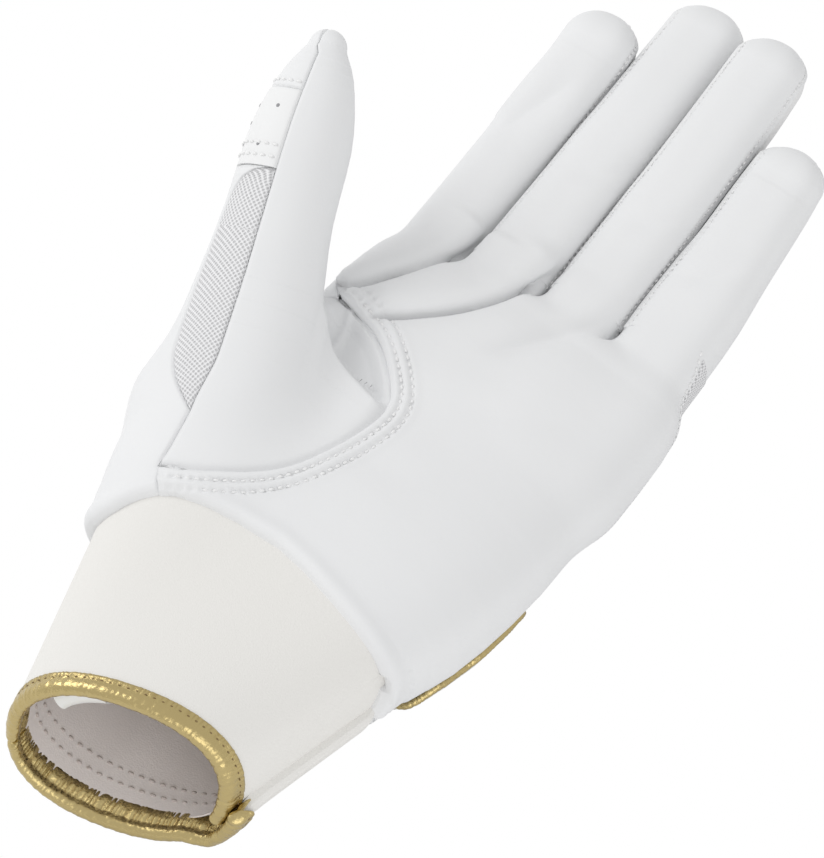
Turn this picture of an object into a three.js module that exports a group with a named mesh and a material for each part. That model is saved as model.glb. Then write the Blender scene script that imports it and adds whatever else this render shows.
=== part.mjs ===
// Left-hand batting glove, palm up and fingers along +Y, thumb at -X, little finger at +X.
// Lengths are millimetres and angles are degrees.
import * as THREE from "three";

// Skins, and the gaps that the seams and layers keep
const leather = 1.1;
const knit = 1;
const neoprene = 2.6;
const seamGap = 0.36;
const layerGap = 0.32;

// Colours
const white = 0xe9ebee;
const meshWhite = 0xdfe2e6;
const cream = 0xe6e2d9;
const gold = 0xb29b5c;
const grey = 0xc9c6c3;

// Palm stations: x, y and z of the centre, half width and half thickness, as shares of its sizes
const palmWide = 90;
const palmLong = 100;
const palmThick = 40;
const palmRowShares = [
  [0.033, -0.4, 0.575, 0.406, 0.488],
  [0.036, -0.18, 0.575, 0.456, 0.495],
  [0.061, 0.02, 0.538, 0.496, 0.49],
  [0.087, 0.25, 0.488, 0.496, 0.45],
  [0.102, 0.5, 0.45, 0.469, 0.375],
  [0.109, 0.66, 0.438, 0.442, 0.3],
  [0.111, 0.75, 0.438, 0.417, 0.225],
];
const palmShape = { power: 2.6, bluntShare: 1, samples: 17 };
const palmUp = [0, 0, 1];
const edgeRound = 11;
const palmEdgeShares = [0.15, 0.84];
const backEdgeShares = [0.16, 0.85];
const palmEdgeAngles = [-125, 118];

// Thumb stations: the places as shares of its length, the half sizes as shares of its thickness
const thumbLong = 120;
const thumbThick = 38;
const thumbRowShares = [
  [-0.146, -0.254, 0.217, 0.421, 0.342],
  [-0.193, -0.0725, 0.233, 0.5, 0.421],
  [-0.249, 0.11, 0.275, 0.487, 0.461],
  [-0.313, 0.2825, 0.333, 0.408, 0.382],
  [-0.3675, 0.431, 0.408, 0.337, 0.311],
  [-0.418, 0.58, 0.475, 0.316, 0.284],
  [-0.45, 0.679, 0.521, 0.226, 0.211],
  [-0.472, 0.738, 0.543, 0.121, 0.116],
];
const thumbShape = { power: 2.1, bluntShare: 1, samples: 25 };
const thumbUp = [0.25, -0.3, 1];

// Fingers: half widths, heights and half thicknesses at base and tip, tip y, bend y, sideways lean
const fingers = [
  { name: "index", wide: [9.1, 9.1], z: [17.5, 27], thick: [9.8, 8.8], tip: 159.5, bend: 119, lean: 0 },
  { name: "middle", wide: [9.6, 9.5], z: [19, 26], thick: [9.9, 8.8], tip: 176.5, bend: 128, lean: 0 },
  { name: "ring", wide: [9.5, 9.1], z: [17.5, 30], thick: [9.5, 8.6], tip: 174.5, bend: 127.5, lean: -0.2 },
  { name: "little", wide: [10.9, 8.8], z: [16, 25], thick: [9.2, 8], tip: 154, bend: 121, lean: -1.9 },
];
const fingerShape = { power: 2.5, bluntShare: 1.15, samples: 17 };
const middleX = -2;
const fingerCrack = 0.5;
const fingerRoot = 50;
const fingerKnuckle = 78;
const fingerStart = 86;
const rootThicker = 1;
const knuckleThicker = 0.4;
const padThicker = 0.2;
const tipThinner = 0.8;
const stationShares = [0.25, 0.5, 0.76];
const riseShares = [0.2, 0.45, 0.75];
const driftShares = [0.3, 0.6, 1];
const taperShares = [0, 0.5, 0.85];

// Web line: y at the lane edges of the fingers, and how the forms blend there
const webYs = [83, 83, 87.5, 88.5, 96];
const webSpare = [0.7, 1.6];
const crackBlend = 0.6;
const webBlend = 12;
const webReach = 24;
const palmBlendLeast = 0.5;
const palmBlend = 9.5;
const palmBlendEnd = 96;
const palmBlendReach = 30;
const thumbBlend = 8;

// Finger seams: angles round a finger from the palm side, and where they meet round the tip
const frontSeam = 62;
const backSeam = 122;
const wrapSeam = 125;
const tipMeet = 56;

// Wrist seam: y in front and at the sides, with a dip on the thumb side
const wristFront = -17;
const wristSide = -30;
const wristRise = 20;
const wristPower = 0.7;
const wristDip = 12;
const wristDipFrom = -22;
const wristDipReach = 14;

// Cuff opening: centre, half width, half thickness and slant; the cuff edges as angles
const opening = { x: 3.5, y: -71, z: 23, wide: 26.5, thick: 22, round: 1.6, power: 0.9 };
const openingSlants = [0.25, 0.2];
const cuffTuck = 2.5;
const cuffFront = [-100, 112];
const cuffBack = [-101, -262];
const flapLap = [-214, -236];
const flapStartShare = 0.1;
const bindingRadius = 2;

// Label sewn inside the cuff
const labelAngles = [-44, -18];
const labelShares = [0.74, 0.96];
const labelThick = 1.2;

// Strap across the back of the wrist, its closure patches and its badge
const strapYs = [-20, 18];
const strapThick = 1.6;
const strapWrap = 128;
const strapHingeShare = 0.36;
const strapCutShare = 0.002;
const strapRootShare = 0.84;
const strapRiseShare = 0.08;
const strapFallShare = 0.09;
const strapRoundShare = 0.06;
const strapRoundPower = 4;
const strapBindingRadius = 1;
const strapBindingShare = 0.345;
const patchThick = 0.7;
const patchShares = [0.1, 0.31];
const patchYs = [-15, 13];
const badgeSize = [24, 20];
const badgeRound = 4;
const badgeThick = 1.6;
const badgeCentre = [-3, -1];

// Thumb rings: shares of its length; thumb seams: a share and an angle from its upper side
const thumbCutShare = 0.535;
const thumbKnuckleShare = 0.635;
const thumbCrossShare = 0.8;
const thumbTubeShare = 0.94;
const thumbFrontSeam = -15;
const thumbFarSeam = 138;
const thumbBackEnd = thumbFarSeam - 360;
const thumbTipMeet = 68;
const meshTurnShare = 1 / 3;
const meshEdgeShares = [
  [0.224, -22], [0.27, -44], [0.314, -58], [0.42, -70], [thumbCutShare, -77], [0.6, -70], [thumbKnuckleShare, -52],
];
const thenarSeamShares = [
  [0.129, -29], [0.149, 20], [0.18, 45], [0.233, 63], [0.28, 72], [0.321, 80], [0.392, 88], [0.475, 106],
];
const thenarEndShares = [0.5, 126];

// Palm seams: places as a share across the hand and a share of the palm's length
const sideSeamShare = 0.165;
const crestShares = [0.07, 0.61];
const indexEdgeShares = [0, 0.69];
const gussetFirstRow = 6;
const gussetTurn = 20;
const gussetLeastShare = 0.12;
const backSeamShares = [[-0.3, 0.72], [0, 0.74], [0.25, 0.78], [0.45, 0.87], [0.69, 1]];

// Radial leather: from a row share, the centre that its rays leave, as shares of the palm's sizes
const radialCoreShares = [
  [0, -0.267, -0.26, 0.55], [0.133, -0.278, -0.06, 0.625], [0.333, -0.311, 0.08, 0.7],
  [0.6, -0.344, 0.24, 0.75], [0.8, -0.344, 0.42, 0.725], [0.933, -0.4, 0.46, 0.95],
];
const radialOutward = [-1, -0.25, -0.35];

// Counts of grid rows and columns
const seamRows = 13;
const palmCols = 21;
const backCols = 15;
const knuckleRow = 8;
const thenarCols = 9;
const meshCols = 3;
const radialCols = 8;
const baseRows = 4;
const tipRows = 3;
const capRows = 5;
const thumbMidRows = 3;
const cuffRows = 5;
const cuffCols = [22, 17];
const strapCols = [11, 10];
const strapRows = 8;

// Vector helpers on plain triples
const plus = (a, b, k = 1) => [a[0] + b[0] * k, a[1] + b[1] * k, a[2] + b[2] * k];
const minus = (a, b) => plus(a, b, -1);
const scaled = (a, k) => a.map((v) => v * k);
const dot = (a, b) => a[0] * b[0] + a[1] * b[1] + a[2] * b[2];
const cross = (a, b) => [a[1] * b[2] - a[2] * b[1], a[2] * b[0] - a[0] * b[2], a[0] * b[1] - a[1] * b[0]];
const unit = (a) => scaled(a, 1 / Math.hypot(...a));
const mix = (a, b, t) => (Array.isArray(a) ? a.map((v, i) => v + (b[i] - v) * t) : a + (b - a) * t);
const clamp = (v, lo = 0, hi = 1) => Math.min(hi, Math.max(lo, v));
const smooth = (v) => {
  const t = clamp(v);
  return t * t * (3 - 2 * t);
};
const rad = THREE.MathUtils.degToRad;
const sin = (angle) => Math.sin(rad(angle));
const cos = (angle) => Math.cos(rad(angle));
const steps = (n, a = 0, b = 1) => Array.from({ length: n + 1 }, (_, i) => a + ((b - a) * i) / n);

// A value read off a table of [key, ...values], straight between rows
function along(table, key) {
  const last = table.length - 1;
  let i = 0;
  while (i < last - 1 && key > table[i + 1][0]) i += 1;
  const t = clamp((key - table[i][0]) / (table[i + 1][0] - table[i][0]));
  return mix(table[i], table[i + 1], t).slice(1);
}

// Evenly spread points on the straight runs through a list
const runAlong = (list, n) =>
  steps(n).map((t) => {
    const u = t * (list.length - 1);
    const i = Math.min(Math.floor(u), list.length - 2);
    return mix(list[i], list[i + 1], u - i);
  });

// A limb: oval sections along a smooth line through its rows
function limb(rows, up, shape) {
  const first = mix(rows[0], rows[1], -1);
  const final = mix(rows.at(-2), rows.at(-1), 2);
  const knots = [first, ...rows, final];
  const at = (u) => {
    const i = Math.min(Math.floor(u), rows.length - 2);
    const f = u - i;
    return knots[0].map((_, k) => {
      const [a, b, c, d] = [0, 1, 2, 3].map((q) => knots[i + q][k]);
      const curve = (2 * a - 5 * b + 4 * c - d) * f * f + (3 * b - a - 3 * c + d) * f ** 3;
      return (2 * b + (c - a) * f + curve) / 2;
    });
  };
  const stations = steps(shape.samples - 1, 0, rows.length - 1).map(at);
  const centres = stations.map((s) => s.slice(0, 3));
  const frames = centres.map((c, i) => {
    const run = unit(minus(centres[Math.min(i + 1, centres.length - 1)], centres[Math.max(i - 1, 0)]));
    const right = unit(cross(run, up));
    return { run, right, top: cross(right, run) };
  });
  return { stations, centres, frames, shape };
}

// The station of a limb at a share of its length
function stationAt(l, share) {
  const x = clamp(share) * (l.stations.length - 1);
  const i = Math.min(Math.floor(x), l.stations.length - 2);
  const f = x - i;
  const s = mix(l.stations[i], l.stations[i + 1], f);
  const [a, b] = [l.frames[i], l.frames[i + 1]];
  const frame = { run: mix(a.run, b.run, f), right: mix(a.right, b.right, f), top: mix(a.top, b.top, f) };
  return { centre: s.slice(0, 3), wide: s[3], thick: s[4], ...frame };
}

// Signed distance from a limb's skin, near enough for tracing seams
function limbDistance(l, p) {
  let best = Infinity;
  let share = 0;
  for (let i = 0; i < l.centres.length - 1; i += 1) {
    const a = l.centres[i];
    const ab = minus(l.centres[i + 1], a);
    const q = minus(p, a);
    const t = clamp(dot(q, ab) / dot(ab, ab));
    const off = plus(q, ab, -t);
    const d = dot(off, off);
    if (d < best) {
      best = d;
      share = (i + t) / (l.centres.length - 1);
    }
  }
  const s = stationAt(l, share);
  const q = minus(p, s.centre);
  const least = Math.min(s.wide, s.thick);
  const x = Math.abs(dot(q, s.right)) / s.wide;
  const z = Math.abs(dot(q, s.top)) / s.thick;
  const y = Math.abs(dot(q, s.run)) / (least * l.shape.bluntShare);
  const e = l.shape.power;
  return (Math.hypot((x ** e + z ** e) ** (1 / e), y) - 1) * least;
}

// Two distances joined with a soft valley of a given size
function join(a, b, size) {
  const h = clamp(0.5 + (b - a) / (2 * size));
  return mix(b, a, h) - size * h * (1 - h);
}

// The palm, the thumb and the fingers as limbs
const palmScale = [palmWide, palmLong, palmThick, palmWide, palmThick];
const thumbScale = [thumbLong, thumbLong, thumbLong, thumbThick, thumbThick];
const sized = (shares, sizes) => shares.map((row) => row.map((share, k) => share * sizes[k]));
const palmRows = sized(palmRowShares, palmScale);
const palmLimb = limb(palmRows, palmUp, palmShape);
const thumbLimb = limb(sized(thumbRowShares, thumbScale), thumbUp, thumbShape);
const [index, middle, ring, little] = fingers;
middle.x = middleX;
index.x = middle.x - middle.wide[0] - fingerCrack - index.wide[0];
ring.x = middle.x + middle.wide[0] + fingerCrack + ring.wide[0];
little.x = ring.x + ring.wide[0] + fingerCrack + little.wide[0];
for (const f of fingers) {
  const [wide, wideTip] = f.wide;
  const [thick, thickTip] = f.thick;
  f.capFrom = f.tip - wideTip * fingerShape.bluntShare;
  const station = (i, extra) => [
    mix(f.x, f.x + f.lean, driftShares[i]),
    mix(fingerStart, f.tip, stationShares[i]),
    mix(...f.z, riseShares[i]),
    mix(wide, wideTip, taperShares[i]),
    mix(thick, thickTip, Math.min(1, 2 * taperShares[i])) + extra,
  ];
  f.limb = limb(
    [
      [f.x, fingerRoot, f.z[0], wide, thick + rootThicker],
      [f.x, fingerKnuckle, f.z[0], wide, thick + knuckleThicker],
      station(0, 0),
      station(1, padThicker),
      station(2, padThicker),
      [f.x + f.lean, f.capFrom, f.z[1], wideTip, thickTip - tipThinner],
    ],
    palmUp,
    fingerShape,
  );
  f.skin = (p) => limbDistance(f.limb, p);
}

// Web line: the lane edges of the fingers with their y
const laneEdges = fingers.map((f) => f.x + f.wide[0] + fingerCrack / 2);
laneEdges[fingers.length - 1] += webSpare[1];
laneEdges.unshift(index.x - index.wide[0] - webSpare[0]);
const webLine = laneEdges.map((x, i) => [x, webYs[i]]);
const webY = (x) => along(webLine, x)[0];

// The whole hand: fingers, palm and thumb run into each other
function handSkin(p) {
  let d = index.skin(p);
  fingers.slice(1).forEach((f, i) => {
    d = join(d, f.skin(p), crackBlend + webBlend * smooth((webYs[i + 1] - p[1]) / webReach));
  });
  const size = palmBlendLeast + palmBlend * smooth((palmBlendEnd - p[1]) / palmBlendReach);
  return join(join(d, limbDistance(palmLimb, p), size), limbDistance(thumbLimb, p), thumbBlend);
}

// Where a ray from inside first leaves a skin
const castSteps = 14;
function cast(skin, from, towards) {
  const way = unit(towards);
  const stride = 2 * bindingRadius;
  let near = 0;
  let far = stride;
  while (skin(plus(from, way, far)) < 0) {
    near = far;
    far += stride;
  }
  for (let k = 0; k < castSteps; k += 1) {
    const half = (near + far) / 2;
    if (skin(plus(from, way, half)) < 0) near = half;
    else far = half;
  }
  return plus(from, way, (near + far) / 2);
}

// The outward direction of a skin at a point, felt over a small step
const feel = knit / 20;
function outward(skin, p) {
  const at = skin(p);
  return unit([0, 1, 2].map((k) => skin(p.map((v, i) => v + (i === k ? feel : 0))) - at));
}

// Geometry from points and faces: equal points made one, flat faces dropped, turned to face out
const pointGrain = 1e3;
function solidFrom(points, faces) {
  const seen = new Map();
  const ids = points.map((p) => {
    const key = p.map((v) => Math.round(v * pointGrain)).join();
    if (!seen.has(key)) seen.set(key, { n: seen.size, p });
    return seen.get(key).n;
  });
  const kept = faces.map((f) => f.map((i) => ids[i])).filter(([a, b, c]) => a !== b && b !== c && a !== c);
  const at = [...seen.values()].map((s) => s.p);
  const volume = kept.reduce((sum, [a, b, c]) => sum + dot(at[a], cross(at[b], at[c])), 0);
  const turned = volume < 0 ? kept.map(([a, b, c]) => [a, c, b]) : kept;
  const geometry = new THREE.BufferGeometry();
  geometry.setAttribute("position", new THREE.Float32BufferAttribute(at.flat(), 3));
  geometry.setIndex(turned.flat());
  return geometry;
}

// A closed sheet between an outer and an inner grid of points
function sheetBetween(outer, inner) {
  const rows = outer.length;
  const cols = outer[0].length;
  const points = [...outer.flat(), ...inner.flat()];
  const id = (side, i, j) => side * rows * cols + i * cols + j;
  const faces = [];
  const quad = (a, b, c, d) => faces.push([a, b, c], [a, c, d]);
  for (let i = 0; i < rows - 1; i += 1) {
    for (let j = 0; j < cols - 1; j += 1) {
      quad(id(0, i, j), id(0, i, j + 1), id(0, i + 1, j + 1), id(0, i + 1, j));
      quad(id(1, i, j), id(1, i + 1, j), id(1, i + 1, j + 1), id(1, i, j + 1));
    }
    quad(id(0, i, 0), id(0, i + 1, 0), id(1, i + 1, 0), id(1, i, 0));
    quad(id(0, i + 1, cols - 1), id(0, i, cols - 1), id(1, i, cols - 1), id(1, i + 1, cols - 1));
  }
  for (let j = 0; j < cols - 1; j += 1) {
    quad(id(0, 0, j + 1), id(0, 0, j), id(1, 0, j), id(1, 0, j + 1));
    quad(id(0, rows - 1, j), id(0, rows - 1, j + 1), id(1, rows - 1, j + 1), id(1, rows - 1, j));
  }
  return solidFrom(points, faces);
}

// Grid edges drawn in by half a seam gap, square to each edge
function drawnIn(grid) {
  const by = seamGap / 2;
  const moved = (p, inner, before, after) => {
    const edge = minus(after, before);
    const l = Math.hypot(...edge);
    const way = minus(inner, p);
    const square = l > 0 ? plus(way, edge, -dot(way, edge) / l ** 2) : way;
    const deep = Math.hypot(...square);
    return deep > by ? plus(p, square, by / deep) : p;
  };
  const rows = grid.length - 1;
  const cols = grid[0].length - 1;
  const across = grid.map((row, i) =>
    row.map((p, j) => {
      if (j > 0 && j < cols) return p;
      const inner = j === 0 ? row[1] : row[cols - 1];
      return moved(p, inner, grid[Math.max(i - 1, 0)][j], grid[Math.min(i + 1, rows)][j]);
    }),
  );
  return across.map((row, i) =>
    row.map((p, j) => {
      if (i > 0 && i < rows) return p;
      const inner = i === 0 ? across[1][j] : across[rows - 1][j];
      return moved(p, inner, row[Math.max(j - 1, 0)], row[Math.min(j + 1, cols)]);
    }),
  );
}

// A skin panel: a grid on the skin, drawn in at the seams and given thickness inwards
function panel(grid, skin, thickness) {
  const drawn = drawnIn(grid);
  const inner = drawn.map((row) => row.map((p) => plus(p, outward(skin, p), -thickness)));
  return sheetBetween(drawn, inner);
}

// A round cord through points
function cord(points, radius, sides, turns) {
  const path = new THREE.CatmullRomCurve3(points.map((p) => new THREE.Vector3(...p)));
  const circle = new THREE.Shape();
  circle.absarc(0, 0, radius, 0, 2 * Math.PI);
  return new THREE.ExtrudeGeometry(circle, {
    steps: turns,
    curveSegments: sides / 2,
    bevelEnabled: false,
    extrudePath: path,
  });
}

// The glove: every piece is a named mesh
const glove = new THREE.Group();
function addPart(name, geometry, colour, roughness = 0.7) {
  const mesh = new THREE.Mesh(geometry, new THREE.MeshStandardMaterial({ color: colour, roughness }));
  mesh.name = name;
  glove.add(mesh);
}

// Centre and flat half width of the hand at a y
const flatRows = palmRows.map(([x, y, z, wide]) => [y, x, z, wide - edgeRound]);
const flatAt = (y) => along(flatRows, y);

// A turn that grows towards both ends of a row and is nothing between the edge shares
function edgeTurn(share, [left, right], [from, to]) {
  if (share < left) return from * (1 - share / left);
  return share > right ? (to * (share - right)) / (1 - right) : 0;
}

// A palm point at a share across, from the thumb edge to the little-finger edge
function palmPoint(share, y) {
  const [x, z, flat] = flatAt(y);
  const [left, right] = palmEdgeShares;
  const angle = edgeTurn(share, palmEdgeShares, palmEdgeAngles);
  const side = mix(-flat, flat, clamp((share - left) / (right - left)));
  return cast(handSkin, [x + side, y, z], [sin(angle), 0, cos(angle)]);
}

// A point on the back, from the little-finger edge to the thumb edge
function backPoint(share, y, from = palmEdgeAngles[1]) {
  const [x, z, flat] = flatAt(y);
  const [left, right] = backEdgeShares;
  const angle = 180 + edgeTurn(share, backEdgeShares, [from - 180, 180 + palmEdgeAngles[0]]);
  const side = mix(flat, -flat, clamp((share - left) / (right - left)));
  return cast(handSkin, [x + side, y, z], [sin(angle), 0, cos(angle)]);
}

// The share across the palm at which a point lies
function palmShare([x, y, z]) {
  const [cx, cz, flat] = flatAt(y);
  const [left, right] = palmEdgeShares;
  const [from, to] = palmEdgeAngles;
  const side = clamp(x - cx, -flat, flat);
  const angle = THREE.MathUtils.radToDeg(Math.atan2(x - cx - side, z - cz));
  if (side === -flat) return left * (1 - angle / from);
  if (side === flat) return right + ((1 - right) * angle) / to;
  return left + ((right - left) * (side + flat)) / (2 * flat);
}

// A thumb point at a share of its length and an angle from its upper side
function thumbPoint(share, angle) {
  const s = stationAt(thumbLimb, share);
  return cast(handSkin, s.centre, plus(scaled(s.right, sin(angle)), s.top, cos(angle)));
}
const thumbAt = ([share, angle]) => thumbPoint(share, angle);

// The y of the wrist seam, and the y at which a traced point meets a seam given by its place
function wristY(x, z) {
  const lift = clamp((z - opening.z) / wristRise) ** wristPower;
  const dip = wristDip * smooth((wristDipFrom - x) / wristDipReach);
  return wristSide + (wristFront - wristSide - dip) * lift;
}
const settleTimes = 6;
function settle(point, yOf, from) {
  let y = from;
  for (let k = 0; k < settleTimes; k += 1) {
    const [x, , z] = point(y);
    y = yOf(x, z);
  }
  return y;
}
const onWeb = (point, share) => [share, settle((y) => point(share, y), webY, webYs[1])];
const onWrist = (share) => [share, settle((y) => palmPoint(share, y), wristY, wristFront)];

// A grid filled in between four edges, in any coordinates
function filled(bottom, top, left, right) {
  const rows = left.length - 1;
  const cols = bottom.length - 1;
  return left.map((_, i) =>
    bottom.map((_, j) => {
      const [u, v] = [j / cols, i / rows];
      const ruled = mix(bottom[j], top[j], v);
      const sides = mix(left[i], right[i], u);
      const corners = mix(mix(bottom[0], bottom[cols], u), mix(top[0], top[cols], u), v);
      return ruled.map((value, k) => value + sides[k] - corners[k]);
    }),
  );
}

// Seams that neighbouring panels share
const thenarEdge = runAlong(thenarSeamShares, thenarCols - 1).concat([thenarEndShares]);
const meshFoot = meshEdgeShares[0];
const meshLeftEdge = steps(seamRows, meshFoot[0], thumbCutShare).map((s) => [s, ...along(meshEdgeShares, s)]);
const meshRightEdge = steps(seamRows).map((t) => [
  mix(meshFoot[0], thumbCutShare, t),
  mix(meshFoot[1], thumbFrontSeam, smooth(t / meshTurnShare)),
]);
const thenarPoints = thenarEdge.map(thumbAt);
const wristCorner = palmPoint(...onWrist(sideSeamShare));
const crestPoint = palmPoint(crestShares[0], crestShares[1] * palmLong);
const indexEdgeY = indexEdgeShares[1] * palmLong;
const indexEdge = palmPoint(indexEdgeShares[0], indexEdgeY);
const webCorner = palmPoint(0, webYs[0]);
const palmLeft = [wristCorner, ...thenarPoints, crestPoint, indexEdge, webCorner];
const palmLast = palmLeft.length - 1;
const ulnarYs = steps(palmLast, onWrist(1)[1], onWeb(palmPoint, 1)[1]);

// The gusset opens like a lens between the palm and back edges at the little-finger side
const gussetOpen = (i) => {
  if (i < gussetFirstRow) return 0;
  const share = (i - gussetFirstRow) / (palmLast - gussetFirstRow);
  return gussetTurn * mix(gussetLeastShare, 1, sin(180 * share));
};
const palmTurnShare = (1 - palmEdgeShares[1]) / palmEdgeAngles[1];
const backTurnShare = backEdgeShares[0] / (180 - palmEdgeAngles[1]);
const ulnarPalm = ulnarYs.map((y, i) => [1 - palmTurnShare * gussetOpen(i), y]);
const backUlnar = ulnarYs.map((y, i) => [backTurnShare * gussetOpen(i), y]);

// Palm leather: its thumb-side end follows the seams, its far end runs up the little-finger side
const palmWrist = steps(palmCols, sideSeamShare, 1).map(onWrist);
const palmTop = steps(palmCols, 0, ulnarPalm.at(-1)[0]).map((s) => onWeb(palmPoint, s));
palmTop[palmCols] = ulnarPalm.at(-1);
const palmLeftShares = palmLeft.map((p, i) => (i === 0 ? palmWrist[0] : [palmShare(p), p[1]]));
const palmShares = filled(palmWrist, palmTop, palmLeftShares, ulnarPalm);
const palmGrid = palmShares.map((row, i) => row.map(([s, y], j) => (j === 0 ? palmLeft[i] : palmPoint(s, y))));
addPart("palm_leather", panel(palmGrid, handSkin, leather), white);

// Thumb base leather, between the thumb seam and the cut ring
const ringFront = steps(thenarCols, thumbFrontSeam, thumbFarSeam).map((a) => [thumbCutShare, a]);
const thenarLeft = [thenarEdge[0], ...meshRightEdge];
const thenarRight = steps(thenarLeft.length - 1).map((t) => mix(thenarEdge.at(-1), ringFront.at(-1), t));
const thenarGrid = filled(thenarEdge, ringFront, thenarLeft, thenarRight).map((row) => row.map(thumbAt));
addPart("thumb_base_leather", panel(thenarGrid, handSkin, leather), white);

// Mesh on the outer side of the thumb base
const meshGrid = meshRightEdge.map((right, i) => runAlong([right, meshLeftEdge[i]], meshCols).map(thumbAt));
addPart("thumb_mesh_base", panel(meshGrid, handSkin, knit), meshWhite);

// Back of the hand, in two panels; the rows match the palm's at the little-finger side
const backRadialYs = steps(palmLast - 1, wristSide, indexEdgeY);
const backRadial = backRadialYs.map((y) => [...along(backSeamShares, y / palmLong), y]).concat([[1, webYs[0]]]);
const backWrist = steps(backCols, 0, backRadial[0][0]).map((s) => [s, wristSide]);
const backTop = steps(backCols, backUlnar.at(-1)[0], 1).map((s) => onWeb(backPoint, s));
backTop[0] = backUlnar.at(-1);
const backGrid = filled(backWrist, backTop, backUlnar, backRadial).map((row) => row.map(([s, y]) => backPoint(s, y)));
addPart("back_hand_panel", panel(backGrid.slice(0, knuckleRow + 1), handSkin, knit), white);
addPart("knuckle_panel", panel(backGrid.slice(knuckleRow), handSkin, knit), meshWhite);

// Mesh gusset between palm and back at the little-finger side
const gussetGrid = ulnarYs
  .map((y, i) => [palmPoint(...ulnarPalm[i]), palmPoint(1, y), backPoint(...backUlnar[i])])
  .slice(gussetFirstRow);
addPart("ulnar_mesh_gusset", panel(gussetGrid, handSkin, knit), meshWhite);

// Radial leather: from the palm and mesh seams round the thumb base to the back seam
const backPoints = backRadial.map(([s, y]) => backPoint(s, y));
const radialRight = [wristCorner, thenarPoints[0], ...meshLeftEdge.map(thumbAt)];
const radialFar = thumbPoint(thumbCutShare, thumbFarSeam);
const radialLeft = [...backPoints.slice(0, palmLast), crestPoint, thenarPoints.at(-1), radialFar];
const radialLast = radialRight.length - 1;
const coreRows = sized(radialCoreShares, [1, ...palmScale]);
const fan = (ways, leaves) => runAlong(ways.map(unit), radialCols).map(leaves);
const radialWrist = () => {
  const [x, , z] = along(coreRows, 0);
  const flatWay = (p) => [p[0] - x, 0, p[2] - z];
  const outer = scaled([radialOutward[0], 0, radialOutward[2]], edgeRound);
  return fan([flatWay(wristCorner), outer, flatWay(backPoints[0])], (way) => {
    const point = (y) => cast(handSkin, [x, y, z], way);
    return point(settle(point, wristY, wristSide));
  });
};
const radialRow = (p, i) => {
  const core = along(coreRows, i / radialLast);
  const end = radialLeft[Math.min(i, radialLeft.length - 1)];
  const row = fan([minus(p, core), radialOutward, minus(end, core)], (way) => cast(handSkin, core, way));
  return [p, ...row.slice(1, -1), end];
};
const radialGrid = radialRight.map((p, i) => {
  if (i === 0) return [p, ...radialWrist().slice(1, -1), radialLeft[0]];
  if (i < radialLast) return radialRow(p, i);
  return steps(radialCols, meshLeftEdge.at(-1)[1], thumbBackEnd).map((a) => thumbPoint(thumbCutShare, a));
});
addPart("radial_leather", panel(radialGrid, handSkin, leather), white);

// Fingers: front, back and side strips, each in a base piece and a tip piece
fingers.forEach((f, i) => {
  const [lane, next] = [webLine[i], webLine[i + 1]];
  const slope = (next[1] - lane[1]) / (next[0] - lane[0]);
  const stations = f.limb.stations.map(([x, y, z]) => [y, x, z]);
  const point = (y, tilt, angle) => {
    const [x, z] = along(stations, y);
    return cast(f.skin, [x, y, z], [sin(angle), tilt * sin(angle), cos(angle)]);
  };
  const root = lane[1] + slope * (f.x - lane[0]);
  const capCentre = f.limb.centres.at(-1);
  const baseLines = steps(baseRows).map((t) => [mix(root, f.bend, t), slope * (1 - smooth(2 * t))]);
  const tipLines = steps(tipRows, f.bend, f.capFrom).map((y) => [y, 0]);
  const strip = (name, angles, thickness, ends) => {
    const rows = (lines) => lines.map(([y, tilt]) => angles.map((a) => point(y, tilt, a)));
    const cap = steps(capRows)
      .slice(1)
      .map((t) =>
        angles.map((a, j) => {
          const w = mix(...ends, j / (angles.length - 1));
          return cast(f.skin, capCentre, mix([sin(a), 0, cos(a)], [sin(w), cos(w), 0], t));
        }),
      );
    addPart(`${f.name}_${name}_base`, panel(rows(baseLines), f.skin, thickness), white);
    addPart(`${f.name}_${name}_tip`, panel([...rows(tipLines), ...cap], f.skin, thickness), white);
  };
  const wrapsLeft = i === 0;
  const wrapsRight = i === fingers.length - 1;
  const front = [wrapsLeft ? -wrapSeam : -frontSeam, wrapsRight ? wrapSeam : frontSeam];
  const back = [wrapsRight ? wrapSeam : backSeam, 360 - (wrapsLeft ? wrapSeam : backSeam)];
  strip("front", steps(wrapsLeft || wrapsRight ? 8 : 5, ...front), leather, [-tipMeet, tipMeet]);
  strip("back", steps(5, ...back), knit, [tipMeet, -tipMeet]);
  if (!wrapsRight) strip("ulnar_side", steps(2, frontSeam, backSeam), knit, [tipMeet, tipMeet]);
  if (!wrapsLeft) strip("radial_side", steps(2, 360 - backSeam, 360 - frontSeam), knit, [-tipMeet, -tipMeet]);
});

// Thumb between the cut ring and the knuckle ring
const thumbGrid = (shares, edges, n) => shares.map((s) => steps(n, ...edges(s)).map((a) => thumbPoint(s, a)));
const midShares = steps(thumbMidRows, thumbCutShare, thumbKnuckleShare);
const meshEdgeAt = (s) => along(meshEdgeShares, s)[0];
const frontEdges = () => [thumbFrontSeam, thumbFarSeam];
const backEdges = () => [thumbBackEnd, thumbFrontSeam];
const thumbPanel = (shares, edges, n, thickness) => panel(thumbGrid(shares, edges, n), handSkin, thickness);
addPart("thumb_front_mid", thumbPanel(midShares, frontEdges, thenarCols, leather), white);
addPart("thumb_mesh_mid", thumbPanel(midShares, (s) => [meshEdgeAt(s), thumbFrontSeam], meshCols, knit), meshWhite);
addPart("thumb_back_mid", thumbPanel(midShares, (s) => [thumbBackEnd, meshEdgeAt(s)], radialCols, leather), white);

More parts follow.
